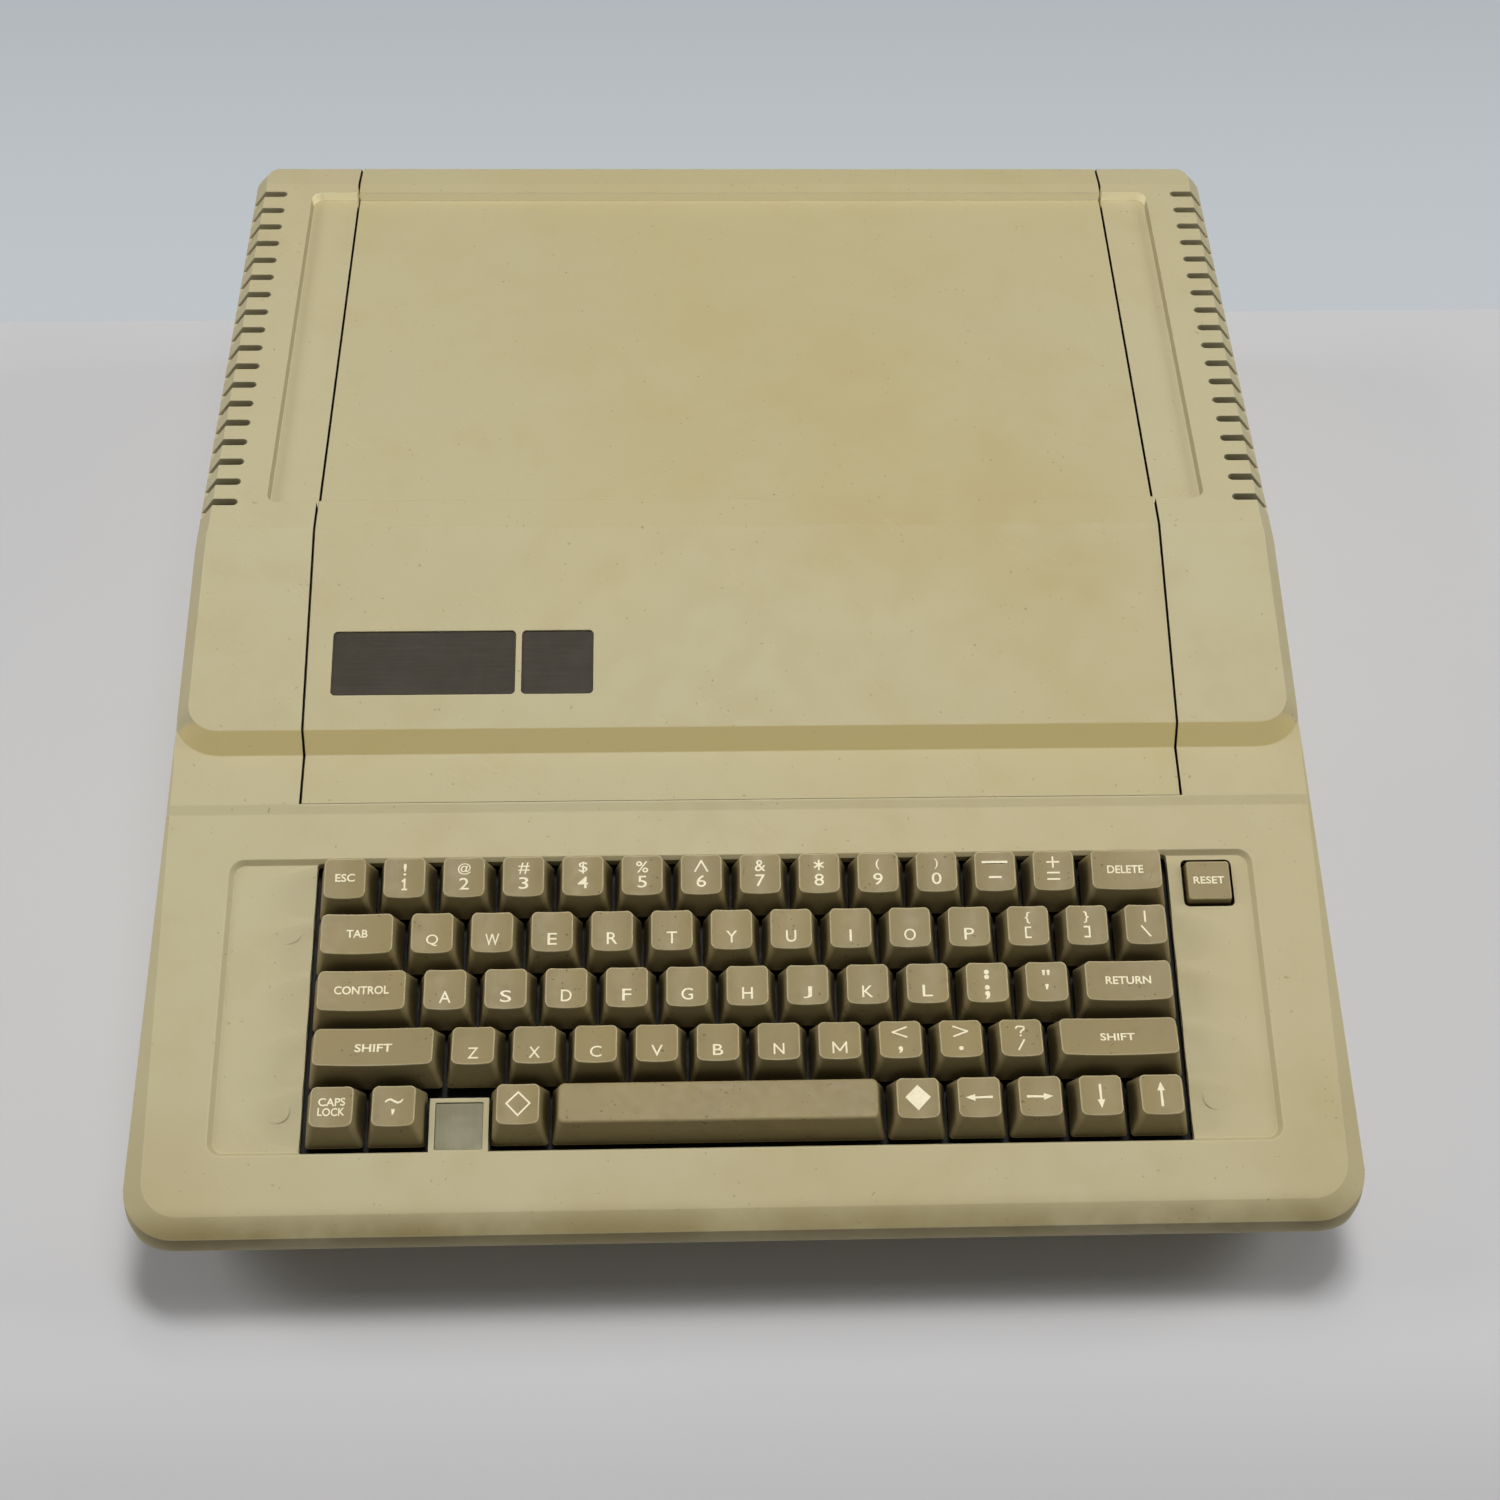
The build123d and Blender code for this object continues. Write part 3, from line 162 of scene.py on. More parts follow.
    def steep(self):
        """1 on upright faces, 0 on level ones."""
        node = self.add("ShaderNodeSeparateXYZ")
        self.feed(node.inputs[0], self.add("ShaderNodeNewGeometry").outputs["True Normal"])
        return self.grade(node.outputs["Z"], 0.9, 0.6)

    def leant(self, normal, amount):
        """Normal leant towards straight up, as on a softer slope."""
        lift = self.add("ShaderNodeCombineXYZ")
        self.feed(lift.inputs["Z"], amount)
        total = self.add("ShaderNodeVectorMath", operation="ADD")
        self.feed(total.inputs[0], normal)
        self.feed(total.inputs[1], lift.outputs["Vector"])
        unit = self.add("ShaderNodeVectorMath", operation="NORMALIZE")
        self.feed(unit.inputs[0], total.outputs["Vector"])
        return unit.outputs["Vector"]

    def bump(self, height, distance, strength=1.0, normal=None):
        node = self.add("ShaderNodeBump")
        node.inputs["Strength"].default_value = strength
        node.inputs["Distance"].default_value = distance
        self.feed(node.inputs["Height"], height)
        if normal:
            self.feed(node.inputs["Normal"], normal)
        return node.outputs["Normal"]

    def dull(self, dark):
        """Takes the sheen away where it is dark."""
        sheen = self.grade(dark, 0.0, 1.0, SHEEN, 0.1 * SHEEN)
        self.feed(self.shader.inputs["Specular IOR Level"], sheen)

    def finish(self, colour, roughness, normal=None, metallic=0.0):
        self.feed(self.shader.inputs["Base Color"], colour)
        self.feed(self.shader.inputs["Roughness"], roughness)
        self.feed(self.shader.inputs["Metallic"], metallic)
        if normal:
            self.feed(self.shader.inputs["Normal"], normal)
        return self.material


def specks(look, scale, amount):
    """Sparse small specks: 1 inside a speck."""
    fine = look.grade(look.noise(scale, 0.0), 0.80 - amount * 0.1, 0.84 - amount * 0.1)
    sparse = look.grade(look.noise(scale * 0.13, 1.0), 0.52, 0.60)
    return look.math("MULTIPLY", fine, sparse)


def scratches(look):
    """Thin stray lines."""
    slanted = look.stretched((24.0, 420.0, 60.0), (0.0, 0.0, 0.7))
    lines = look.noise(1.0, 2.0, vector=slanted)
    line = look.grade(look.math("ABSOLUTE", look.math("SUBTRACT", lines, 0.5)), 0.012, 0.0)
    sparse = look.grade(look.noise(22.0, 2.0), 0.58, 0.66)
    return look.math("MULTIPLY", line, sparse)


# ------------------------------------------------------------------ materials
TRAY_REAR = (0.0, 0.1935, 0.112)      # middle of the tray's rear wall
TRAY_HALF_WIDTH = 0.165
STEP = (0.0, -0.065, 0.088)           # middle of the step below the lid's slope
SPEAKER_PLACE = (-0.125, -0.118, 0.0)


def aged_colour(look, base, yellowed, stained, stains_and_shade):
    """Mottled, stained and speckled colour of old beige plastic; spots in the list can also
    paint shade.
    """
    broad = look.noise(7.0, 3.0, 0.55)
    colour = look.blend(look.grade(broad, 0.35, 0.68), base, yellowed)
    cloudy = look.noise(46.0, 4.0, 0.6)
    colour = look.blend(look.grade(cloudy, 0.45, 0.75, 0.0, 0.22), colour, stained)
    # spots of stain, and on the case's front also spots of painted shade
    for centre, radius, squeeze, strength, *tint in stains_and_shade:
        patch = look.spot(centre, radius, squeeze)
        uneven = look.grade(look.noise(19.0, 4.0, 0.6), 0.3, 0.62, 0.3, 1.0)
        amount = look.math("MULTIPLY", look.math("MULTIPLY", patch, uneven), strength)
        colour = look.blend(amount, colour, tint[0] if tint else stained)
    fine = look.noise(1500.0, 2.0, 0.6)
    darker = tuple(0.8 * value for value in base[:3]) + (1,)
    colour = look.blend(look.grade(fine, 0.3, 0.7, 0.0, 0.10), colour, darker)
    dirt = specks(look, 760.0, 0.2)
    colour = look.blend(look.math("MULTIPLY", dirt, 0.4), colour, srgb(112, 98, 66))
    marks = look.math("MULTIPLY", scratches(look), 0.15)
    return look.blend(marks, colour, srgb(214, 205, 172))


def moulded(name, base, yellowed, stained, edge, stains_and_shade):
    """Aged moulded plastic with painted highlights along its edges, painted shade in its gaps,
    painted light on the tray's rear wall and the step, and a fine grained skin.
    """
    look = Look(name)
    colour = aged_colour(look, base, yellowed, stained, stains_and_shade)
    across = look.math("ABSOLUTE", look.part("X"))
    steep = look.steep()
    near_tray_rear = look.grade(look.spot(TRAY_REAR, 6.0 * MM, (0.0, 1.0, 1.0)), 0.0, 0.4)
    near_step = look.grade(look.spot(STEP, 9.0 * MM, (0.0, 1.0, 1.0)), 0.0, 0.3)
    soft = look.rounded(0.7 * MM)
    # painted highlight: rims along the rounded edges, weaker at the tray's rear wall and at the
    # step, are lightened towards the edge colour
    rim_highlight = look.math(
        "MULTIPLY", look.edge_mask(soft), look.grade(near_tray_rear, 0.0, 1.0, 0.6, 0.0)
    )
    rim_highlight = look.math("MULTIPLY", rim_highlight, look.grade(near_step, 0.0, 1.0, 1.0, 0.6))
    colour = look.blend(rim_highlight, colour, edge)
    # painted light: the tray's rear wall is painted paler than its surroundings, and the step's
    # upright face yellower, for the way light falls on these faces
    within = look.grade(across, TRAY_HALF_WIDTH + MM, TRAY_HALF_WIDTH)
    wall = look.math("MULTIPLY", look.math("MULTIPLY", near_tray_rear, within), steep)
    colour = look.blend(wall, colour, srgb(240, 230, 186))
    riser = look.math("MULTIPLY", near_step, steep)
    colour = look.blend(look.math("MULTIPLY", riser, 0.6), colour, srgb(198, 178, 112))
    # painted shade: ambient occlusion darkens the seams to nearly black and the vent slots
    # outside them to brown, except on the tray's rear wall
    vents = look.grade(across, TRAY_HALF_WIDTH - 10 * MM, TRAY_HALF_WIDTH)
    gap = look.blend(vents, srgb(26, 23, 12), srgb(74, 67, 44))
    dark = look.math("SUBTRACT", look.hidden(5.0 * MM, 0.18, 0.48), wall)
    dark = look.math("MAXIMUM", dark, 0.0)
    colour = look.blend(dark, colour, gap)
    look.dull(dark)
    gloss = look.grade(look.noise(90.0, 3.0), 0.3, 0.7, 0.54, 0.66)
    gloss = look.math("SUBTRACT", gloss, look.math("MULTIPLY", rim_highlight, 0.15))
    lean = look.math("MULTIPLY", look.math("ADD", wall, riser), 0.4)
    normal = look.bump(look.noise(2600.0, 2.0, 0.65), 0.00003, 0.6, look.leant(soft, lean))
    return look.finish(colour, gloss, normal)


def key_plastic():
    """Taupe key plastic, polished a little by use, with painted shade between the keys and a
    painted highlight along the cap edges.
    """
    look = Look("taupe_key_plastic")
    base = srgb(145, 131, 93)
    warm = srgb(149, 134, 92)
    deep = srgb(125, 112, 78)
    colour = look.blend(look.grade(look.noise(24.0, 3.0), 0.35, 0.65), base, warm)
    colour = look.blend(look.grade(look.noise(160.0, 4.0), 0.5, 0.8, 0.0, 0.35), colour, deep)
    colour = look.blend(
        look.math("MULTIPLY", specks(look, 900.0, 0.5), 0.6), colour, srgb(80, 66, 45)
    )
    soft = look.rounded(0.8 * MM)
    rim_highlight = look.edge_mask(soft)
    # painted shade: ambient occlusion darkens the caps towards dark brown in the gaps between
    # the keys
    dark = look.hidden(9.0 * MM, 0.15, 0.6)
    colour = look.blend(dark, colour, srgb(72, 63, 41))
    look.dull(dark)
    # painted highlight: the cap edges are lightened towards pale taupe
    colour = look.blend(look.math("MULTIPLY", rim_highlight, 0.9), colour, srgb(202, 189, 148))
    gloss = look.grade(look.noise(300.0, 3.0), 0.3, 0.7, 0.44, 0.56)
    normal = look.bump(look.noise(3200.0, 2.0), 0.00002, 0.5, soft)
    return look.finish(colour, gloss, normal)


def legend_plastic():
    look = Look("cream_legend_plastic")
    worn = look.grade(look.noise(700.0, 3.0), 0.35, 0.75)
    colour = look.blend(worn, srgb(240, 231, 198), srgb(230, 220, 184))
    return look.finish(colour, look.grade(worn, 0.0, 1.0, 0.42, 0.55),
                       look.bump(look.noise(2500.0), 0.00002, 0.4))


def painted(name, base, light, roughness):
    """Paint or plastic with a fine orange-peel skin, pale specks and a painted highlight along
    its edges.
    """
    look = Look(name)
    colour = look.blend(look.grade(look.noise(30.0, 4.0), 0.35, 0.7), base, light)
    soft = look.rounded(0.4 * MM)
    rim_highlight = look.edge_mask(soft)
    pale = tuple(min(1.0, v * 1.6 + 0.02) for v in light[:3]) + (1,)
    # painted highlight: the edges are lightened halfway towards a pale colour
    colour = look.blend(look.math("MULTIPLY", rim_highlight, 0.5), colour, pale)
    colour = look.blend(look.math("MULTIPLY", specks(look, 500.0, 0.4), 0.4), colour, pale)
    gloss = look.grade(look.noise(120.0, 3.0), 0.3, 0.7, roughness - 0.06, roughness + 0.08)
    normal = look.bump(look.noise(2200.0, 2.0, 0.6), 0.00004, 0.6, soft)
    return look.finish(colour, gloss, normal)


def brushed(name, base, roughness):
    """Metal with fine drawn lines."""
    look = Look(name)
    lines = look.noise(1.0, 3.0, 0.6, look.stretched((30.0, 1400.0, 1400.0)))
    dark = tuple(v * 0.72 for v in base[:3]) + (1,)
    colour = look.blend(look.grade(lines, 0.3, 0.7), base, dark)
    colour = look.blend(
        look.grade(look.noise(40.0, 4.0), 0.5, 0.8, 0.0, 0.4), colour, dark
    )
    gloss = look.grade(lines, 0.3, 0.7, roughness - 0.08, roughness + 0.12)
    normal = look.bump(lines, 0.00001, 0.4, look.rounded(0.3 * MM))
    return look.finish(colour, gloss, normal, 1.0)


def badge_plastic():
    """Dark brown inset plate, fine lined, with faint handling marks."""
    look = Look("dark_badge_plastic")
    lines = look.noise(1.0, 2.0, 0.5, look.stretched((60.0, 2600.0, 2600.0)))
    colour = look.blend(look.grade(lines, 0.3, 0.7), srgb(58, 52, 40), srgb(51, 46, 35))
    smear = look.noise(70.0, 4.0, 0.6, distortion=0.6)
    colour = look.blend(look.grade(smear, 0.5, 0.8, 0.0, 0.4), colour, srgb(78, 72, 59))
    soft = look.rounded(0.4 * MM)
    # painted highlight: the plate's edges are lightened halfway towards pale brown
    colour = look.blend(
        look.math("MULTIPLY", look.edge_mask(soft), 0.5), colour, srgb(150, 140, 118)
    )
    gloss = look.grade(smear, 0.3, 0.7, 0.58, 0.7)
    return look.finish(colour, gloss, look.bump(lines, 0.00001, 0.3, soft))


def lens_plastic():
    """Frosted grey-green lamp cover with a faint vertical ribbing below."""
    look = Look("frosted_lens_plastic")
    cloud = look.noise(110.0, 3.0)
    colour = look.blend(look.grade(cloud, 0.35, 0.7), srgb(129, 125, 92), srgb(120, 115, 84))
    ribs = look.noise(1.0, 0.0, vector=look.stretched((900.0, 6.0, 6.0)))
    colour = look.blend(look.grade(ribs, 0.45, 0.6, 0.0, 0.08), colour, srgb(138, 134, 102))
    look.shader.inputs["Subsurface Weight"].default_value = 0.15
    look.shader.inputs["Subsurface Radius"].default_value = (0.002, 0.002, 0.0015)
    normal = look.bump(look.noise(1800.0, 2.0), 0.00002, 0.5, look.rounded(0.4 * MM))
    return look.finish(colour, look.grade(cloud, 0.3, 0.7, 0.28, 0.4), normal)


def circuit_board(name, base):
    """Solder resist over a maze of tracks, with tinned pads."""
    look = Look(name)
    node = look.add("ShaderNodeTexBrick", offset=0.5, squash=1.0)
    look.feed(node.inputs["Vector"], look.stretched((1.0, 1.0, 0.0)))
    node.inputs["Scale"].default_value = 160.0
    node.inputs["Mortar Size"].default_value = 0.012
    node.inputs["Brick Width"].default_value = 2.4
    node.inputs["Row Height"].default_value = 0.45
    tracks = node.outputs["Fac"]
    lighter = tuple(min(1.0, v * 2.0 + 0.01) for v in base[:3]) + (1,)
    colour = look.blend(look.grade(look.noise(18.0, 3.0), 0.35, 0.7), base,
                        tuple(v * 0.75 for v in base[:3]) + (1,))
    broken = look.grade(look.noise(60.0, 0.0), 0.42, 0.46)
    colour = look.blend(look.math("MULTIPLY", look.math("MULTIPLY", tracks, broken), 0.8),
                        colour, lighter)
    cells = look.add("ShaderNodeTexVoronoi", feature="F1")
    look.feed(cells.inputs["Vector"], look.stretched((1.0, 1.0, 0.0)))
    cells.inputs["Scale"].default_value = 190.0
    cells.inputs["Randomness"].default_value = 0.55
    pads = look.grade(cells.outputs["Distance"], 0.17, 0.13)
    pads = look.math("MULTIPLY", pads, look.grade(look.noise(35.0, 0.0), 0.5, 0.54))
    colour = look.blend(pads, colour, srgb(190, 188, 178))
    normal = look.bump(look.math("ADD", tracks, pads), 0.00004, 0.5, look.rounded(0.3 * MM))
    return look.finish(colour, look.grade(pads, 0.0, 1.0, 0.32, 0.25), normal,
                       look.math("MULTIPLY", pads, 0.9))


def chip_plastic():
    """Black chip bodies on tinned legs, with a faint printed mark."""
    look = Look("chip_plastic_and_legs")
    height = look.part("Z")
    leg_top = 15.35 * MM
    chip_top = 18.75 * MM
    legs = look.grade(height, leg_top + 0.1 * MM, leg_top, smooth=False)
    colour = look.blend(look.grade(look.noise(120.0, 3.0), 0.3, 0.7), srgb(38, 38, 40),
                        srgb(52, 51, 50))
    print_rows = look.noise(1.0, 0.0, vector=look.stretched((700.0, 330.0, 1.0)))
    shown = look.math("MULTIPLY", look.grade(print_rows, 0.64, 0.66),
                      look.grade(height, chip_top - 0.05 * MM, chip_top))
    colour = look.blend(look.math("MULTIPLY", shown, 0.35), colour, srgb(160, 160, 158))
    colour = look.blend(legs, colour, srgb(196, 194, 186))
    normal = look.bump(look.noise(2400.0, 2.0), 0.00003, 0.6, look.rounded(0.2 * MM))
    return look.finish(colour, look.grade(legs, 0.0, 1.0, 0.55, 0.3), normal, legs)


def socket_plastic():
    """Black moulded sockets whose shells, where they stand out behind, are plated."""
    look = Look("socket_plastic_and_shells")
    shell_start = 205.2 * MM
    behind = look.grade(look.part("Y"), shell_start, shell_start + 0.2 * MM, smooth=False)
    colour = look.blend(look.grade(look.noise(90.0, 3.0), 0.3, 0.7), srgb(30, 30, 31),
                        srgb(44, 43, 42))
    plated = look.blend(look.grade(look.noise(160.0, 3.0), 0.3, 0.7), srgb(205, 202, 194),
                        srgb(170, 166, 156))
    colour = look.blend(behind, colour, plated)
    normal = look.bump(look.noise(2000.0, 2.0), 0.00003, 0.4, look.rounded(0.3 * MM))
    return look.finish(colour, look.grade(behind, 0.0, 1.0, 0.5, 0.28), normal, behind)


def slot_plastic():
    """Dark card connectors with gilt contacts down the groove."""
    look = Look("card_slot_plastic")
    contact_pitch = 2.54 * MM
    contact_top = 27.6 * MM
    slot_pitch = 22.9 * MM
    first_slot = 0.05145
    along = look.math("FRACT", look.math("MULTIPLY", look.part("Y"), 1 / contact_pitch))
    contact = look.math("MULTIPLY", look.grade(along, 0.30, 0.34), look.grade(along, 0.74, 0.70))
    inside = look.grade(look.part("Z"), contact_top, contact_top - 0.4 * MM, smooth=False)
    across = look.math("ADD", look.part("X"), first_slot)
    column = look.math("FRACT", look.math("DIVIDE", across, slot_pitch))
    middle = look.grade(look.math("ABSOLUTE", look.math("SUBTRACT", column, 0.5)), 0.06, 0.055)
    gilt = look.math("MULTIPLY", look.math("MULTIPLY", contact, inside), middle)
    colour = look.blend(look.grade(look.noise(80.0, 3.0), 0.3, 0.7), srgb(34, 36, 40),
                        srgb(50, 50, 52))
    colour = look.blend(gilt, colour, srgb(212, 170, 88))
    normal = look.bump(look.noise(2000.0, 2.0), 0.00003, 0.4, look.rounded(0.3 * MM))
    return look.finish(colour, 0.42, normal, look.math("MULTIPLY", gilt, 0.9))


def ribbon_plastic():
    """Grey ribbon with painted shade in the grooves between the wires and one coloured edge."""
    look = Look("grey_ribbon_plastic")
    wire_pitch = 1.27 * MM
    edge_wire_x = 56.5 * MM
    across = look.math("FRACT", look.math("MULTIPLY", look.part("X"), 1 / wire_pitch))
    groove = look.grade(look.math("ABSOLUTE", look.math("SUBTRACT", across, 0.5)), 0.36, 0.5)
    colour = look.blend(look.grade(look.noise(50.0, 3.0), 0.3, 0.7), srgb(150, 150, 148),
                        srgb(132, 132, 132))
    # painted shade: the grooves between the wires are darkened
    colour = look.blend(groove, colour, srgb(98, 98, 98))
    edge_wire = look.grade(look.part("X"), edge_wire_x, edge_wire_x - 0.2 * MM, smooth=False)
    colour = look.blend(edge_wire, colour, srgb(160, 60, 50))
    normal = look.bump(groove, 0.0002, -0.6)
    return look.finish(colour, 0.45, normal)


def lead_plastic(name, base):
    """Twisted bundle of covered wires."""
    look = Look(name)
    twist = look.noise(1.0, 1.0, vector=look.stretched((500.0, 240.0, 500.0), (0.5, 0.4, 0.0)))
    colour = look.blend(look.grade(twist, 0.42, 0.58), base, srgb(150, 120, 90))
    return look.finish(colour, 0.45, look.bump(twist, 0.0006, 0.6))


def supply_parts():
    """Capacitors, transformer and coil of the power supply: dark blue, with yellow tape on the
    coil.
    """
    look = Look("power_supply_parts")
    y = look.part("Y")
    coil_start, coil_end = 64.0 * MM, 110.0 * MM
    is_coil = look.math(
        "MULTIPLY", look.grade(y, coil_start, coil_start + MM, smooth=False),
        look.grade(y, coil_end, coil_end - MM, smooth=False),
    )
    colour = look.blend(look.grade(look.noise(60.0, 3.0), 0.3, 0.7), srgb(38, 48, 92),
                        srgb(30, 38, 74))
    wound = look.noise(1.0, 2.0, vector=look.stretched((20.0, 20.0, 900.0)))
    tape = look.blend(look.grade(wound, 0.3, 0.7), srgb(214, 178, 74), srgb(186, 150, 58))
    colour = look.blend(is_coil, colour, tape)
    normal = look.bump(wound, 0.0001, 0.5, look.rounded(0.4 * MM))
    return look.finish(colour, 0.38, normal)


def speaker_look():
    """Ribbed black paper cone in a plated frame."""
    look = Look("speaker_cone_and_frame")
    away = look.add("ShaderNodeVectorMath", operation="DISTANCE")
    look.feed(away.inputs[0], look.stretched((1.0, 1.0, 0.0)))
    away.inputs[1].default_value = SPEAKER_PLACE
    radius = away.outputs["Value"]
    rib_pitch = 1.6 * MM
    cone_radius = 25.2 * MM
    rings = look.math("SINE", look.math("MULTIPLY", radius, 2 * math.pi / rib_pitch))
    frame_ring = look.grade(radius, cone_radius, cone_radius + 0.3 * MM, smooth=False)
    fibre = look.noise(900.0, 3.0, 0.7)
    colour = look.blend(look.grade(fibre, 0.3, 0.7), srgb(34, 33, 32), srgb(50, 48, 46))
    colour = look.blend(frame_ring, colour, srgb(160, 158, 150))
    normal = look.bump(look.math("ADD", look.math("MULTIPLY", rings, 0.5), fibre), 0.0002, 0.5)
    return look.finish(colour, look.grade(frame_ring, 0.0, 1.0, 0.85, 0.4), normal, frame_ring)


def rubber():
    look = Look("foot_rubber")
    dust = look.noise(240.0, 4.0, 0.65)
    colour = look.blend(look.grade(dust, 0.45, 0.8), srgb(34, 33, 31), srgb(74, 70, 62))
    return look.finish(colour, look.grade(dust, 0.3, 0.7, 0.7, 0.9),
                       look.bump(look.noise(1800.0, 3.0), 0.00006, 0.6, look.rounded(0.6 * MM)))


def lamp_glass():
    look = Look("lamp_glass")
    haze = look.noise(400.0, 2.0)
    colour = look.blend(look.grade(haze, 0.3, 0.7), srgb(236, 224, 196), srgb(220, 196, 160))
    look.shader.inputs["Transmission Weight"].default_value = 0.5
    return look.finish(colour, look.grade(haze, 0.3, 0.7, 0.12, 0.25))


lid_stains = [
    ((0.02, 0.085, 0.112), 0.115, (0.75, 1.0, 1.0), 0.40),
    ((0.09, 0.045, 0.112), 0.085, (0.8, 1.0, 1.0), 0.30),
    ((0.075, 0.012, 0.112), 0.070, (0.55, 1.6, 1.0), 0.45),
    ((0.115, -0.020, 0.105), 0.060, (0.7, 1.0, 1.0), 0.35),
    ((-0.06, 0.155, 0.112), 0.080, (0.8, 1.0, 1.0), 0.15),
]
case_stains_and_shade = [
    # the first two spots are painted shade, darkening the front bevel and the band along the
    # front edge; the last two darken the front corners
    ((0.0, -0.2245, 0.0445), 0.011, (0.0, 1.0, 1.0), 1.0, srgb(122, 108, 66)),
    ((0.0, -0.222, 0.042), 0.220, (1.0, 5.0, 5.0), 0.45),
    ((0.19, -0.20, 0.045), 0.045, (1.0, 1.0, 1.0), 0.6),
    ((-0.19, -0.21, 0.045), 0.045, (1.0, 1.0, 1.0), 0.5),
]
# the fifth argument of each is the colour of the painted highlight along the edges
case_look = moulded(
    "beige_case_plastic", srgb(188, 179, 143), srgb(187, 176, 137), srgb(172, 157, 112),
    srgb(214, 204, 168), case_stains_and_shade,
)
lid_look = moulded(
    "beige_lid_plastic", srgb(186, 177, 140), srgb(186, 175, 134), srgb(177, 160, 110),
    srgb(216, 205, 165), lid_stains,
)
looks = {
    "top_case": case_look,
    "lid": lid_look,
    "badge_plate_large": badge_plastic(),
    "lamp_lens": lens_plastic(),
    "lamp": lamp_glass(),
    "base_plate": painted("beige_painted_steel", srgb(168, 158, 128), srgb(176, 166, 134), 0.5),
    "port_covers": painted("dark_port_plastic", srgb(60, 55, 47), srgb(72, 66, 56), 0.48),
    "rubber_feet": rubber(),
    "screws": brushed("zinc_steel", srgb(188, 186, 178), 0.32),
    "keyboard_plate": painted("black_painted_steel", srgb(14, 13, 12), srgb(20, 19, 17), 0.6),
    "key_switches": painted("black_switch_plastic", srgb(16, 15, 14), srgb(24, 23, 21), 0.55),
    "keyboard_board": circuit_board("keyboard_circuit_board", srgb(30, 84, 48)),
    "keyboard_cable": ribbon_plastic(),
    "main_board": circuit_board("main_circuit_board", srgb(26, 92, 54)),
    "expansion_slots": slot_plastic(),
    "chips": chip_plastic(),
    "rear_sockets": socket_plastic(),
    "power_supply_case": brushed("passivated_aluminium", srgb(206, 196, 160), 0.4),
    "power_supply_board": circuit_board("supply_circuit_board", srgb(120, 92, 48)),
    "power_supply_components": supply_parts(),
    "power_inlet": painted("black_socket_plastic", srgb(26, 26, 27), srgb(38, 37, 36), 0.4),
    "power_lead": lead_plastic("power_lead_cover", srgb(196, 190, 176)),
    "speaker": speaker_look(),
    "speaker_lead": lead_plastic("speaker_lead_cover", srgb(170, 60, 50)),
}
looks["badge_plate_small"] = looks["badge_plate_large"]
looks["back_panel"] = looks["base_plate"]
looks["catch_clips"] = looks["screws"]
looks["lid_catches"] = looks["screws"]
looks["board_standoffs"] = looks["screws"]
looks["power_switch_frame"] = looks["power_inlet"]
looks["power_switch"] = looks["power_inlet"]
key_look = key_plastic()
for node, piece in frame["nodes"].items():
    chosen = looks.get(node, key_look)
    piece.data.materials.clear()
    piece.data.materials.append(chosen)

# ------------------------------------------------------------------ key legends
KEY_PITCH = 19.05
FIRST_CELL_X = -7.25 * KEY_PITCH
FIRST_CELL_V = 2.46
CAP_SETBACK = 1.2
ROW_TOP_HEIGHT = (7.6, 8.1, 7.3, 7.8, 8.3)
ROW_TOP_TILT = (6.0, 12.0, 2.0, -1.0, -4.0)
DECK_SLOPE = (79.2 - 48.5) / (218.9 - 88.0)
DECK_ANGLE = math.atan(DECK_SLOPE)
DECK_ORIGIN = Vector((0.0, -200.6, 48.5 + (218.9 - 200.6) * DECK_SLOPE))
deck = Matrix.Translation(DECK_ORIGIN) @ Matrix.Rotation(DECK_ANGLE, 4, "X")
ABOVE_CAP = 0.035
BOLD_WORD = 0.018
BOLD_LETTER = 0.004

# Each row runs from the left: node, width in key units, and its marks.
# A mark is text or a drawn sign, its centre across and up the cap top, its
# height and its width, all in millimetres.
LETTER = (-2.55, 4.0)
LOWER = -2.35
UPPER = 2.7


def letter(sign, width=3.0):
    return [(sign, 0.0, LETTER[0], LETTER[1], width)]


def pair(upper, lower, upper_size=(3.9, 3.3), lower_size=(4.0, 2.8), upper_y=UPPER,
         lower_y=LOWER):
    return [(upper, 0.0, upper_y, *upper_size), (lower, 0.0, lower_y, *lower_size)]


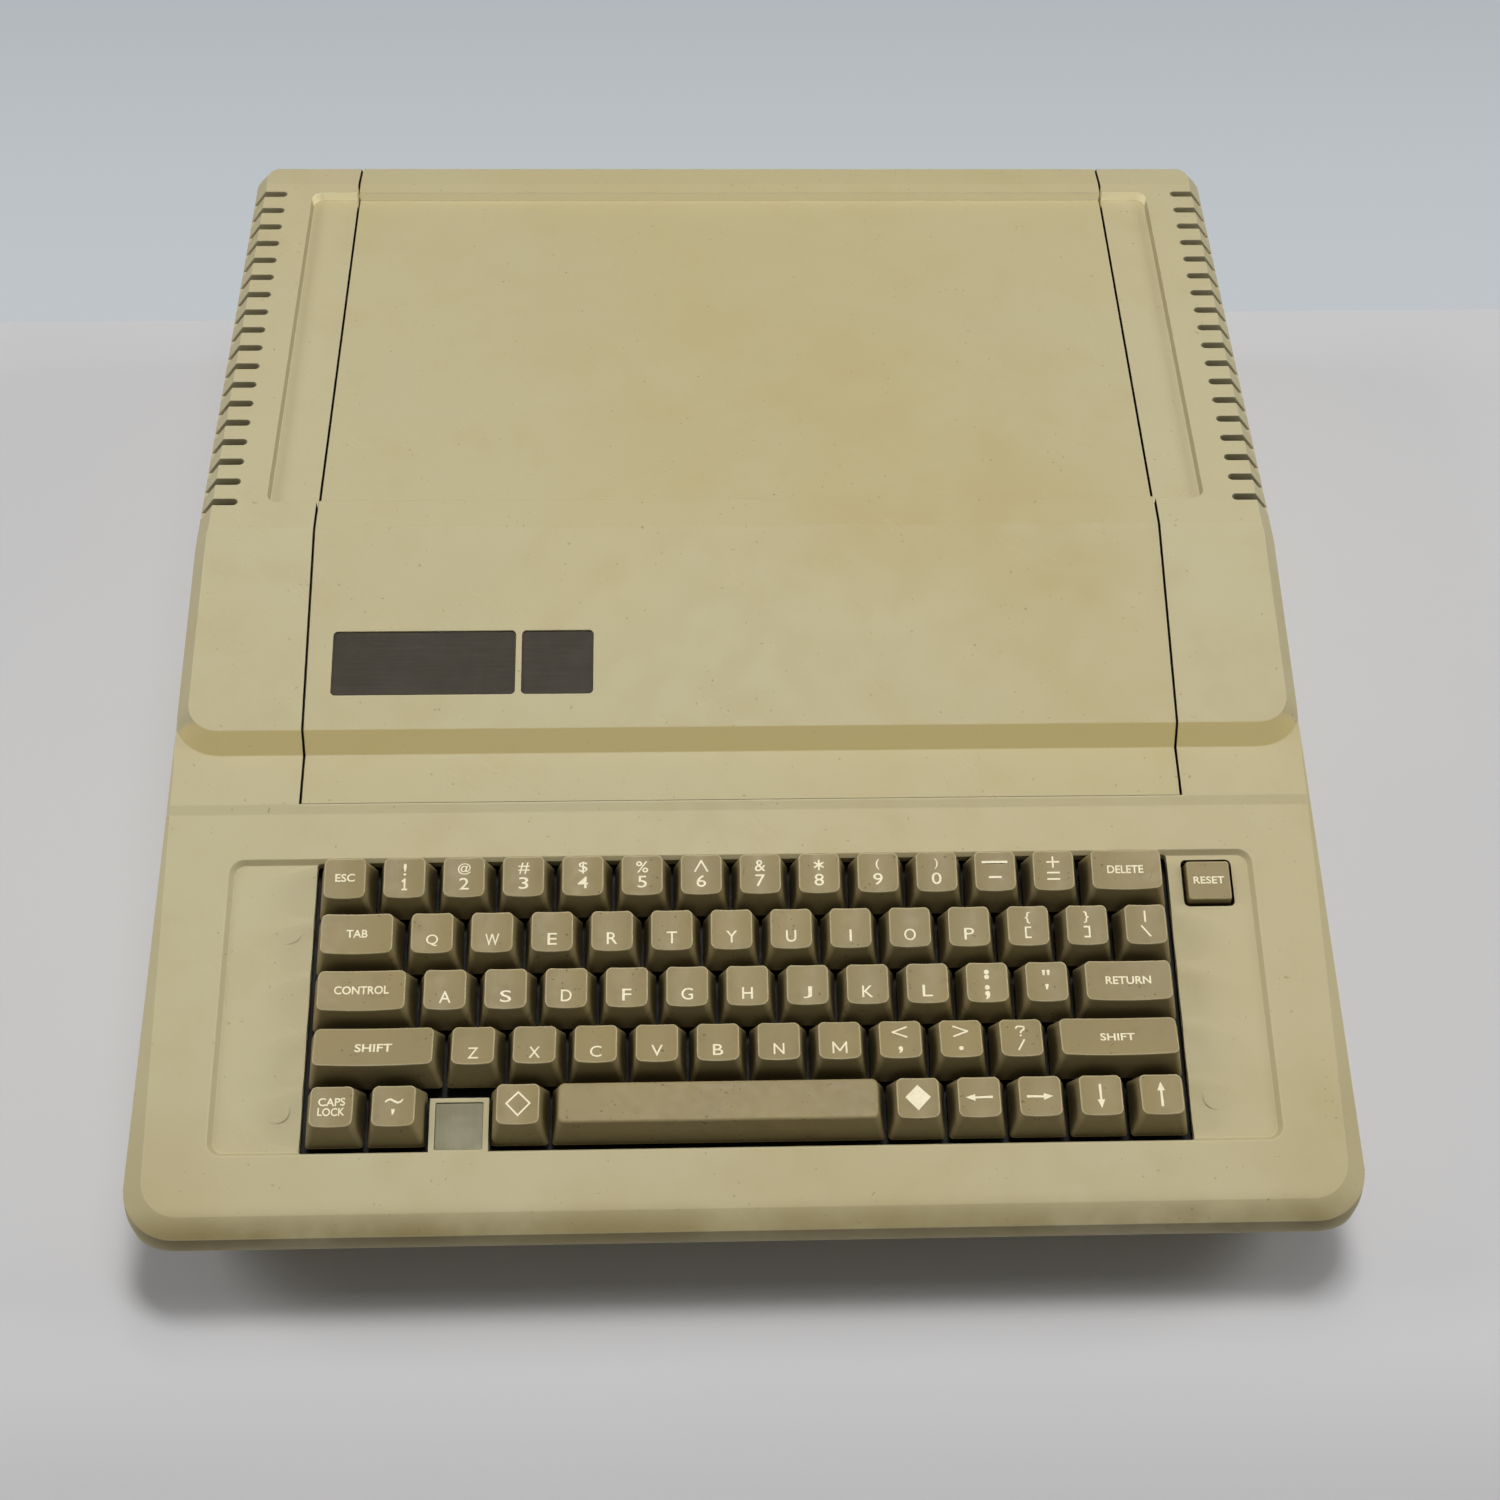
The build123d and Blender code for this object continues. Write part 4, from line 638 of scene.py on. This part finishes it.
rows = [
    [("key_caps_lock", 1, [("CAPS", 0.0, 1.6, 2.7, 8.3), ("LOCK", 0.0, -1.7, 2.7, 8.3)]),
     ("key_grave", 1, [("tilde", 0.0, 1.7, 1.9, 5.4), ("tick", -0.2, -1.9, 1.9, 1.2)]),
     (None, 1, []),
     ("key_open_lozenge", 1, [("open_lozenge", 0.0, 0.2, 8.6, 8.0)]),
     ("key_space", 5.5, []),
     ("key_solid_lozenge", 1, [("solid_lozenge", 0.0, 0.2, 8.6, 8.0)]),
     ("key_arrow_left", 1, [("arrow_left", 0.0, -0.1, 2.4, 8.5)]),
     ("key_arrow_right", 1, [("arrow_right", 0.0, -0.1, 2.4, 8.3)]),
     ("key_arrow_down", 1, [("arrow_down", 0.0, -0.2, 8.2, 2.4)]),
     ("key_arrow_up", 1, [("arrow_up", 0.0, 0.2, 8.4, 2.4)])],
    [("key_shift_left", 2.25, [("SHIFT", 0.0, -0.2, 2.9, 11.6)]),
     ("keys_1_q_a_z", 1, letter("Z", 3.3)), ("keys_2_w_s_x", 1, letter("X", 3.5)),
     ("keys_3_e_d_c", 1, letter("C", 3.6)), ("keys_4_r_f_v", 1, letter("V", 3.6)),
     ("keys_5_t_g_b", 1, letter("B", 3.2)), ("keys_6_y_h_n", 1, letter("N", 3.4)),
     ("keys_7_u_j_m", 1, letter("M", 4.1)),
     ("keys_8_i_k_comma", 1, pair("less", "comma", (3.8, 4.6), (2.4, 1.4), 2.8, -3.5)),
     ("keys_9_o_l_period", 1, pair("more", "dot", (3.8, 4.6), (1.5, 1.5), 2.8, -3.3)),
     ("keys_0_p_semicolon_slash", 1, pair("?", "slash", (3.9, 3.0), (3.9, 2.1))),
     ("key_shift_right", 2.25, [("SHIFT", -0.4, 0.0, 2.7, 11.0)])],
    [("key_control", 1.75, [("CONTROL", 0.0, 0.1, 2.8, 17.2)]),
     ("keys_1_q_a_z", 1, letter("A", 3.7)), ("keys_2_w_s_x", 1, letter("S", 3.5)),
     ("keys_3_e_d_c", 1, letter("D", 3.4)), ("keys_4_r_f_v", 1, letter("F", 2.9)),
     ("keys_5_t_g_b", 1, letter("G", 3.7)), ("keys_6_y_h_n", 1, letter("H", 3.4)),
     ("keys_7_u_j_m", 1, letter("J", 2.8)), ("keys_8_i_k_comma", 1, letter("K", 3.5)),
     ("keys_9_o_l_period", 1, letter("L", 3.2)),
     ("keys_0_p_semicolon_slash", 1,
      pair("colon", "semicolon", (3.4, 1.7), (4.2, 1.7), 2.7, -3.0)),
     ("keys_hyphen_bracket_quote", 1, pair("quote", "tick", (1.8, 2.6), (1.9, 1.2), 3.1, -1.8)),
     ("key_return", 1.75, [("RETURN", 0.0, 0.1, 2.7, 14.6)])],
    [("key_tab", 1.5, [("TAB", 0.0, 0.0, 2.7, 6.7)]),
     ("keys_1_q_a_z", 1, letter("Q", 3.8)), ("keys_2_w_s_x", 1, letter("W", 4.5)),
     ("keys_3_e_d_c", 1, letter("E", 3.0)), ("keys_4_r_f_v", 1, letter("R", 3.4)),
     ("keys_5_t_g_b", 1, letter("T", 3.3)), ("keys_6_y_h_n", 1, letter("Y", 3.5)),
     ("keys_7_u_j_m", 1, letter("U", 3.3)), ("keys_8_i_k_comma", 1, letter("I", 0.7)),
     ("keys_9_o_l_period", 1, letter("O", 3.7)),
     ("keys_0_p_semicolon_slash", 1, letter("P", 3.2)),
     ("keys_hyphen_bracket_quote", 1, pair("{", "bracket_open", (3.9, 1.7), (4.0, 2.1))),
     ("keys_equals_bracket_backslash", 1,
      pair("}", "bracket_close", (3.9, 1.7), (4.0, 2.1))),
     ("keys_equals_bracket_backslash", 1, pair("bar", "backslash", (3.9, 0.6), (3.8, 2.9)))],
    [("key_escape", 1, [("ESC", 0.0, 0.1, 2.7, 6.3)]),
     ("keys_1_q_a_z", 1, pair("!", "1", (4.0, 1.0), (4.0, 1.8))),
     ("keys_2_w_s_x", 1, pair("@", "2", (3.8, 4.2), (4.0, 3.1))),
     ("keys_3_e_d_c", 1, pair("#", "3", (3.9, 3.6), (4.0, 3.1))),
     ("keys_4_r_f_v", 1, pair("$", "4", (4.1, 2.8), (4.0, 3.4))),
     ("keys_5_t_g_b", 1, pair("%", "5", (3.9, 3.9), (4.0, 3.0))),
     ("keys_6_y_h_n", 1, pair("caret", "6", (3.8, 4.2), (4.0, 3.1))),
     ("keys_7_u_j_m", 1, pair("&", "7", (3.9, 3.5), (4.0, 3.1))),
     ("keys_8_i_k_comma", 1, pair("star", "8", (3.6, 3.6), (4.0, 3.1))),
     ("keys_9_o_l_period", 1, pair("(", "9", (3.6, 1.2), (4.0, 3.1))),
     ("keys_0_p_semicolon_slash", 1, pair(")", "0", (3.6, 1.2), (4.0, 3.2))),
     ("keys_hyphen_bracket_quote", 1,
      pair("dash", "dash", (0.8, 8.4), (0.7, 4.2), 2.9, -2.2)),
     ("keys_equals_bracket_backslash", 1,
      pair("plus", "equals", (3.9, 4.2), (2.2, 4.2), 2.8, -2.0)),
     ("key_delete", 1.5, [("DELETE", -0.3, 0.0, 2.7, 11.8)])],
]
STROKE = 0.58


def line(start, end, width):
    """Outline of a straight stroke between two points."""
    start, end = Vector(start), Vector(end)
    along = (end - start).normalized()
    side = Vector((-along.y, along.x)) * width / 2
    return [[start - side, end - side, end + side, start + side]]


def disc(centre, radius):
    steps = 14
    return [[Vector(centre) + radius * Vector((math.cos(a), math.sin(a)))
             for a in (2 * math.pi * k / steps for k in range(steps))]]


def ribbon(points, widths):
    """Outline of a bent stroke, with its own width at each point."""
    points = [Vector(p) for p in points]
    left, right = [], []
    for k, point in enumerate(points):
        ahead = points[min(k + 1, len(points) - 1)] - points[max(k - 1, 0)]
        side = Vector((-ahead.y, ahead.x)).normalized() * widths[k] / 2
        left.append(point + side)
        right.append(point - side)
    return [
        [right[k], right[k + 1], left[k + 1], left[k]] for k in range(len(points) - 1)
    ]


def comma_shape(top, radius, drop):
    points = [
        (0.0, top), (0.25 * radius, top - 0.35 * drop), (0.1 * radius, top - 0.7 * drop),
        (-0.75 * radius, top - drop),
    ]
    tail = ribbon(points, [1.9 * radius, 1.5 * radius, 1.0 * radius, 0.3 * radius])
    return disc((0.0, top), radius) + tail


def arrow(length, width):
    """Thin arrow to the right, centred."""
    half = length / 2
    head = length * 0.36
    return [
        [Vector((-half, -0.42)), Vector((half - head, -0.36)), Vector((half - head, 0.36)),
         Vector((-half, 0.42))],
        [Vector((half - head, -width / 2)), Vector((half, 0.0)),
         Vector((half - head, width / 2))],
    ]


def turned(shapes, angle):
    spin = Matrix.Rotation(math.radians(angle), 2)
    return [[spin @ point for point in shape] for shape in shapes]


def lozenge(height, width, filled):
    corners = [
        Vector((0, -height / 2)), Vector((width / 2, 0)), Vector((0, height / 2)),
        Vector((-width / 2, 0)),
    ]
    if filled:
        return [corners]
    scale = 1 - 2 * STROKE / min(height, width) * 1.35
    inner = [corner * scale for corner in corners]
    return [
        [corners[k], corners[(k + 1) % 4], inner[(k + 1) % 4], inner[k]] for k in range(4)
    ]


def sign_shapes(sign, height, width):
    """Polygons of a drawn sign, centred on the origin."""
    h, w, s = height / 2, width / 2, STROKE
    if sign == "less":
        return line((w, h), (-w, 0), s) + line((-w, 0), (w, -h), s) + disc((-w, 0), s / 2)
    if sign == "more":
        return line((-w, h), (w, 0), s) + line((w, 0), (-w, -h), s) + disc((w, 0), s / 2)
    if sign == "M":
        corners = [(-w, -h), (-w, h), (0, -0.5 * h), (w, h), (w, -h)]
        strokes = [line(a, b, s) for a, b in zip(corners, corners[1:])]
        return sum(strokes, []) + [d for c in corners[1:4] for d in disc(c, s / 2)]
    if sign == "1":
        return (line((0, h), (0, -h), s) + line((0, h - s / 2), (-w, h - 1.1), s)
                + line((-w, -h + s / 2), (w, -h + s / 2), s))
    if sign == "?":
        bow = [(-w, 0.45 * h), (-0.6 * w, 0.85 * h), (0.1 * w, h - s / 2), (0.8 * w, 0.75 * h),
               (0.8 * w, 0.3 * h), (0.15 * w, -0.05 * h), (0.0, -0.42 * h)]
        return ribbon(bow, [s] * len(bow)) + disc((0.0, -h + s / 2), 0.6 * s)
    if sign == "caret":
        return line((-w, -h), (0, h), s) + line((0, h), (w, -h), s) + disc((0, h), s / 2)
    if sign == "star":
        return [shape for angle in (0, 60, 120)
                for shape in turned(line((0, -h), (0, h), s), angle)]
    if sign == "plus":
        return line((-w, 0), (w, 0), s) + line((0, -h), (0, h), s)
    if sign == "equals":
        return line((-w, h), (w, h), s) + line((-w, -h), (w, -h), s)
    if sign == "dash":
        return line((-w, 0), (w, 0), height)
    if sign == "bar":
        return line((0, -h), (0, h), s)
    if sign == "slash":
        return line((-w, -h), (w, h), s)
    if sign == "backslash":
        return line((-w, h), (w, -h), s)
    if sign == "bracket_open":
        return (line((-w + s / 2, h), (-w + s / 2, -h), s)
                + line((-w, h - s / 2), (w, h - s / 2), s)
                + line((-w, -h + s / 2), (w, -h + s / 2), s))
    if sign == "bracket_close":
        return [[Vector((-p.x, p.y)) for p in shape][::-1]
                for shape in sign_shapes("bracket_open", height, width)]
    if sign == "dot":
        return disc((0, 0), w)
    if sign == "comma":
        return comma_shape(h - w, w, height - w)
    if sign == "tick":
        return ribbon([(0, h), (0.05, 0.3 * h), (-0.1, -h)], [1.1, 1.0, 0.35])
    if sign == "quote":
        return [[p + Vector((shift, 0)) for p in shape] for shift in (-0.75, 0.75)
                for shape in ribbon([(0, h), (0, -h)], [1.0, 0.6])]
    if sign == "colon":
        return disc((0, h - w), w * 0.95) + disc((0, -h + w), w * 0.95)
    if sign == "semicolon":
        return disc((0, h - w), w * 0.95) + [
            [p + Vector((0, -h * 0.35)) for p in shape]
            for shape in comma_shape(0.0, w * 0.95, h * 0.95)
        ]
    if sign == "tilde":
        points = [(-w, -0.45 * h), (-0.75 * w, 0.35 * h), (-0.42 * w, 0.62 * h),
                  (0.0, 0.0), (0.42 * w, -0.62 * h), (0.75 * w, -0.35 * h), (w, 0.55 * h)]
        return ribbon(points, [0.5, 0.62, 0.68, 0.68, 0.68, 0.62, 0.5])
    if sign == "arrow_right":
        return arrow(width, height)
    if sign == "arrow_left":
        return turned(arrow(width, height), 180)
    if sign == "arrow_up":
        return turned(arrow(height, width), 90)
    if sign == "arrow_down":
        return turned(arrow(height, width), -90)
    if sign == "open_lozenge":
        return lozenge(height, width, False)
    if sign == "solid_lozenge":
        return lozenge(height, width, True)
    return None


def cap_frame(x, v, row):
    """Place of a key's top: x across, y up the cap, z out of it, in millimetres."""
    place = Matrix.Translation((x, v + CAP_SETBACK, ROW_TOP_HEIGHT[row]))
    return deck @ place @ Matrix.Rotation(math.radians(-ROW_TOP_TILT[row]), 4, "X")


def surface_of(piece):
    """Search tree of a node's surface, in metres in the shared frame."""
    mesh = piece.data
    points = [piece.matrix_world @ vertex.co for vertex in mesh.vertices]
    return BVHTree.FromPolygons(points, [list(face.vertices) for face in mesh.polygons])


def laid_on(surface, place, x, y):
    """Point just above the cap top, straight over x and y on its middle plane."""
    start = place @ Vector((x, y, 3.0)) * MM
    outward = (place.to_3x3() @ Vector((0, 0, 1))).normalized()
    hit = surface.ray_cast(start, -outward, 5 * MM)[0]
    return hit + outward * ABOVE_CAP * MM


def text_sheet(word):
    """Text object that gives the flat outline of a word."""
    curve = bpy.data.curves.new(f"outline_{len(bpy.data.curves)}", "FONT")
    curve.body = word
    curve.align_x = "CENTER"
    curve.offset = BOLD_WORD if len(word) > 1 else BOLD_LETTER
    curve.resolution_u = 4
    piece = bpy.data.objects.new(curve.name, curve)
    bpy.context.scene.collection.objects.link(piece)
    return piece


marks = []
for row, keys in enumerate(rows):
    edge = 0.0
    for node, units, signs in keys:
        x = FIRST_CELL_X + (edge + units / 2) * KEY_PITCH
        v = FIRST_CELL_V + (row + 0.5) * KEY_PITCH
        for sign in signs:
            marks.append((node, cap_frame(x, v, row), sign))
        edge += units
reset_frame = deck @ Matrix.Translation((152.15, 88.3, 0.5))
marks.append(("key_reset", reset_frame, ("RESET", 0.0, 0.0, 2.6, 10.2)))

words = {}
for node, place, (sign, *rest) in marks:
    if sign_shapes(sign, 1.0, 1.0) is None and sign not in words:
        words[sign] = text_sheet(sign)
bpy.context.view_layer.update()
graph = bpy.context.evaluated_depsgraph_get()
outlines = {}
for word, piece in words.items():
    sheet = bpy.data.meshes.new_from_object(piece.evaluated_get(graph))
    points = [Vector(vertex.co[:2]) for vertex in sheet.vertices]
    faces = [list(face.vertices) for face in sheet.polygons]
    low = Vector((min(p.x for p in points), min(p.y for p in points)))
    high = Vector((max(p.x for p in points), max(p.y for p in points)))
    outlines[word] = ([p - (low + high) / 2 for p in points], faces, high - low)
    curve = piece.data
    bpy.data.objects.remove(piece)
    bpy.data.curves.remove(curve)
    bpy.data.meshes.remove(sheet)

legend_look = legend_plastic()
gathered = {}
surfaces = {node: surface_of(frame["nodes"][node]) for node in {mark[0] for mark in marks}}
for node, place, (sign, centre_x, centre_y, height, width) in marks:
    points, faces = gathered.setdefault(node, ([], []))
    if sign in outlines:
        flat, sheet_faces, size = outlines[sign]
        scale = Vector((width / size.x, height / size.y))
        local = [Vector((p.x * scale.x, p.y * scale.y)) for p in flat]
    else:
        shapes = sign_shapes(sign, height, width)
        local, sheet_faces = [], []
        for shape in shapes:
            sheet_faces.append(list(range(len(local), len(local) + len(shape))))
            local += shape
    start = len(points)
    for p in local:
        points.append(laid_on(surfaces[node], place, p.x + centre_x, p.y + centre_y))
    faces += [[start + k for k in face] for face in sheet_faces]

node_body = {}
for body, members in frame["record"]["behaviour"]["bodies"].items():
    for member in members:
        node_body[member] = body
for node, (points, faces) in gathered.items():
    mesh = bpy.data.meshes.new(f"legend_{node}")
    mesh.from_pydata(points, [], faces)
    mesh.update()
    mesh.materials.append(legend_look)
    piece = bpy.data.objects.new(f"legend_{node}", mesh)
    bpy.context.scene.collection.objects.link(piece)
    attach(piece, node_body[node])

# ------------------------------------------------------------------ stage
EDGE_Y = 0.254                # where the table ends and the pale wall colour begins
EDGE_TURN = 0.01


def table_look():
    """Pale table, with painted shade a little darker near the viewer, and the wall colour beyond
    its edge.
    """
    look = Look("pale_table")
    broad = look.grade(look.noise(3.0, 3.0), 0.3, 0.7)
    table = look.blend(broad, srgb(208, 208, 210), srgb(205, 205, 208))
    across, along = look.part("X"), look.part("Y")
    # painted shade: the table darkens towards the viewer
    table = look.blend(look.grade(along, -0.2, -0.34), table, srgb(180, 180, 182))
    look.finish(table, 0.7, look.bump(look.noise(500.0, 2.0), 0.00005, 0.3))
    rays = look.add("ShaderNodeLightPath").outputs
    seen = look.math("MAXIMUM", rays["Is Camera Ray"], rays["Is Glossy Ray"])
    seen = look.math("MAXIMUM", seen, rays["Is Transmission Ray"])
    past = look.math("SUBTRACT", along, look.math("MULTIPLY", across, EDGE_TURN))
    beyond = look.grade(past, EDGE_Y - 0.001, EDGE_Y + 0.001)
    # painted shade: the glowing wall colour darkens upwards
    up = look.grade(past, EDGE_Y, EDGE_Y + 0.45)
    wall = look.add("ShaderNodeEmission")
    look.feed(wall.inputs["Color"], look.blend(up, srgb(191, 196, 200), srgb(168, 173, 179)))
    mixed = look.add("ShaderNodeMixShader")
    look.feed(mixed.inputs["Fac"], look.math("MULTIPLY", beyond, seen))
    look.feed(mixed.inputs[1], look.shader.outputs["BSDF"])
    look.feed(mixed.inputs[2], wall.outputs["Emission"])
    look.feed(look.tree.nodes["Material Output"].inputs["Surface"], mixed.outputs["Shader"])
    return look.material


table_mesh = bpy.data.meshes.new("table")
table_mesh.from_pydata([(-4, -4, 0), (4, -4, 0), (4, 4, 0), (-4, 4, 0)], [], [(0, 1, 2, 3)])
table_mesh.materials.append(table_look())
table_top = bpy.data.objects.new("table", table_mesh)
bpy.context.scene.collection.objects.link(table_top)

# ------------------------------------------------------------------ light
scene = bpy.context.scene
world = bpy.data.worlds.new("soft_grey_room")
world.use_nodes = True
world.node_tree.nodes["Background"].inputs["Color"].default_value = (1.0, 0.99, 0.97, 1.0)
world.node_tree.nodes["Background"].inputs["Strength"].default_value = 0.17
scene.world = world


def lamp(name, place, aim, width, depth, power, colour=(1.0, 1.0, 1.0)):
    data = bpy.data.lights.new(name, "AREA")
    data.shape = "RECTANGLE"
    data.size = width
    data.size_y = depth
    data.energy = power
    data.color = colour
    piece = bpy.data.objects.new(name, data)
    piece.location = place
    piece.rotation_mode = "QUATERNION"
    direction = Vector(aim) - Vector(place)
    piece.rotation_quaternion = direction.to_track_quat("-Z", "Y")
    scene.collection.objects.link(piece)
    return piece


lamp("overhead", (0.05, -0.03, 1.9), (0.0, -0.08, 0.0), 0.5, 0.3, 15.6, (1.0, 0.985, 0.96))
lamp("rear_soft", (0.2, 0.1, 1.7), (0.0, 0.0, 0.05), 1.4, 0.16, 4.0)
lamp("left_soft", (-1.7, 0.0, 1.3), (-0.1, 0.0, 0.05), 0.8, 0.8, 11.0)
lamp("right_soft", (1.7, 0.0, 1.3), (0.1, 0.0, 0.05), 0.8, 0.8, 10.0)

# ------------------------------------------------------------------ camera
SENSOR_WIDTH = 36.0
PHOTO_PX = 1500                       # width and height of the photo
FOCAL_PX = 2449.806
CENTRE_PX = (802.3716, 752.0139)      # where the camera's axis meets the photo
CAMERA_PLACE = Vector((-13.2425, -589.864, 716.103)) * MM

camera_data = bpy.data.cameras.new("camera")
camera_data.sensor_width = SENSOR_WIDTH
camera_data.lens = SENSOR_WIDTH * FOCAL_PX / PHOTO_PX
camera_data.shift_x = -(CENTRE_PX[0] - PHOTO_PX / 2) / PHOTO_PX
camera_data.shift_y = (CENTRE_PX[1] - PHOTO_PX / 2) / PHOTO_PX
camera_data.clip_start = 0.01
camera_data.clip_end = 50.0
camera = bpy.data.objects.new("camera", camera_data)
right = Vector((0.99913901, -0.03303655, 0.02509629))
down = Vector((-0.00946589, -0.77047947, -0.63739452))
ahead = Vector((0.04039349, 0.63660818, -0.77012882))
turn = Matrix((right, -down, -ahead)).transposed()
camera.matrix_world = Matrix.Translation(CAMERA_PLACE) @ turn.to_4x4()
scene.collection.objects.link(camera)
scene.camera = camera
scene.view_settings.view_transform = "Standard"
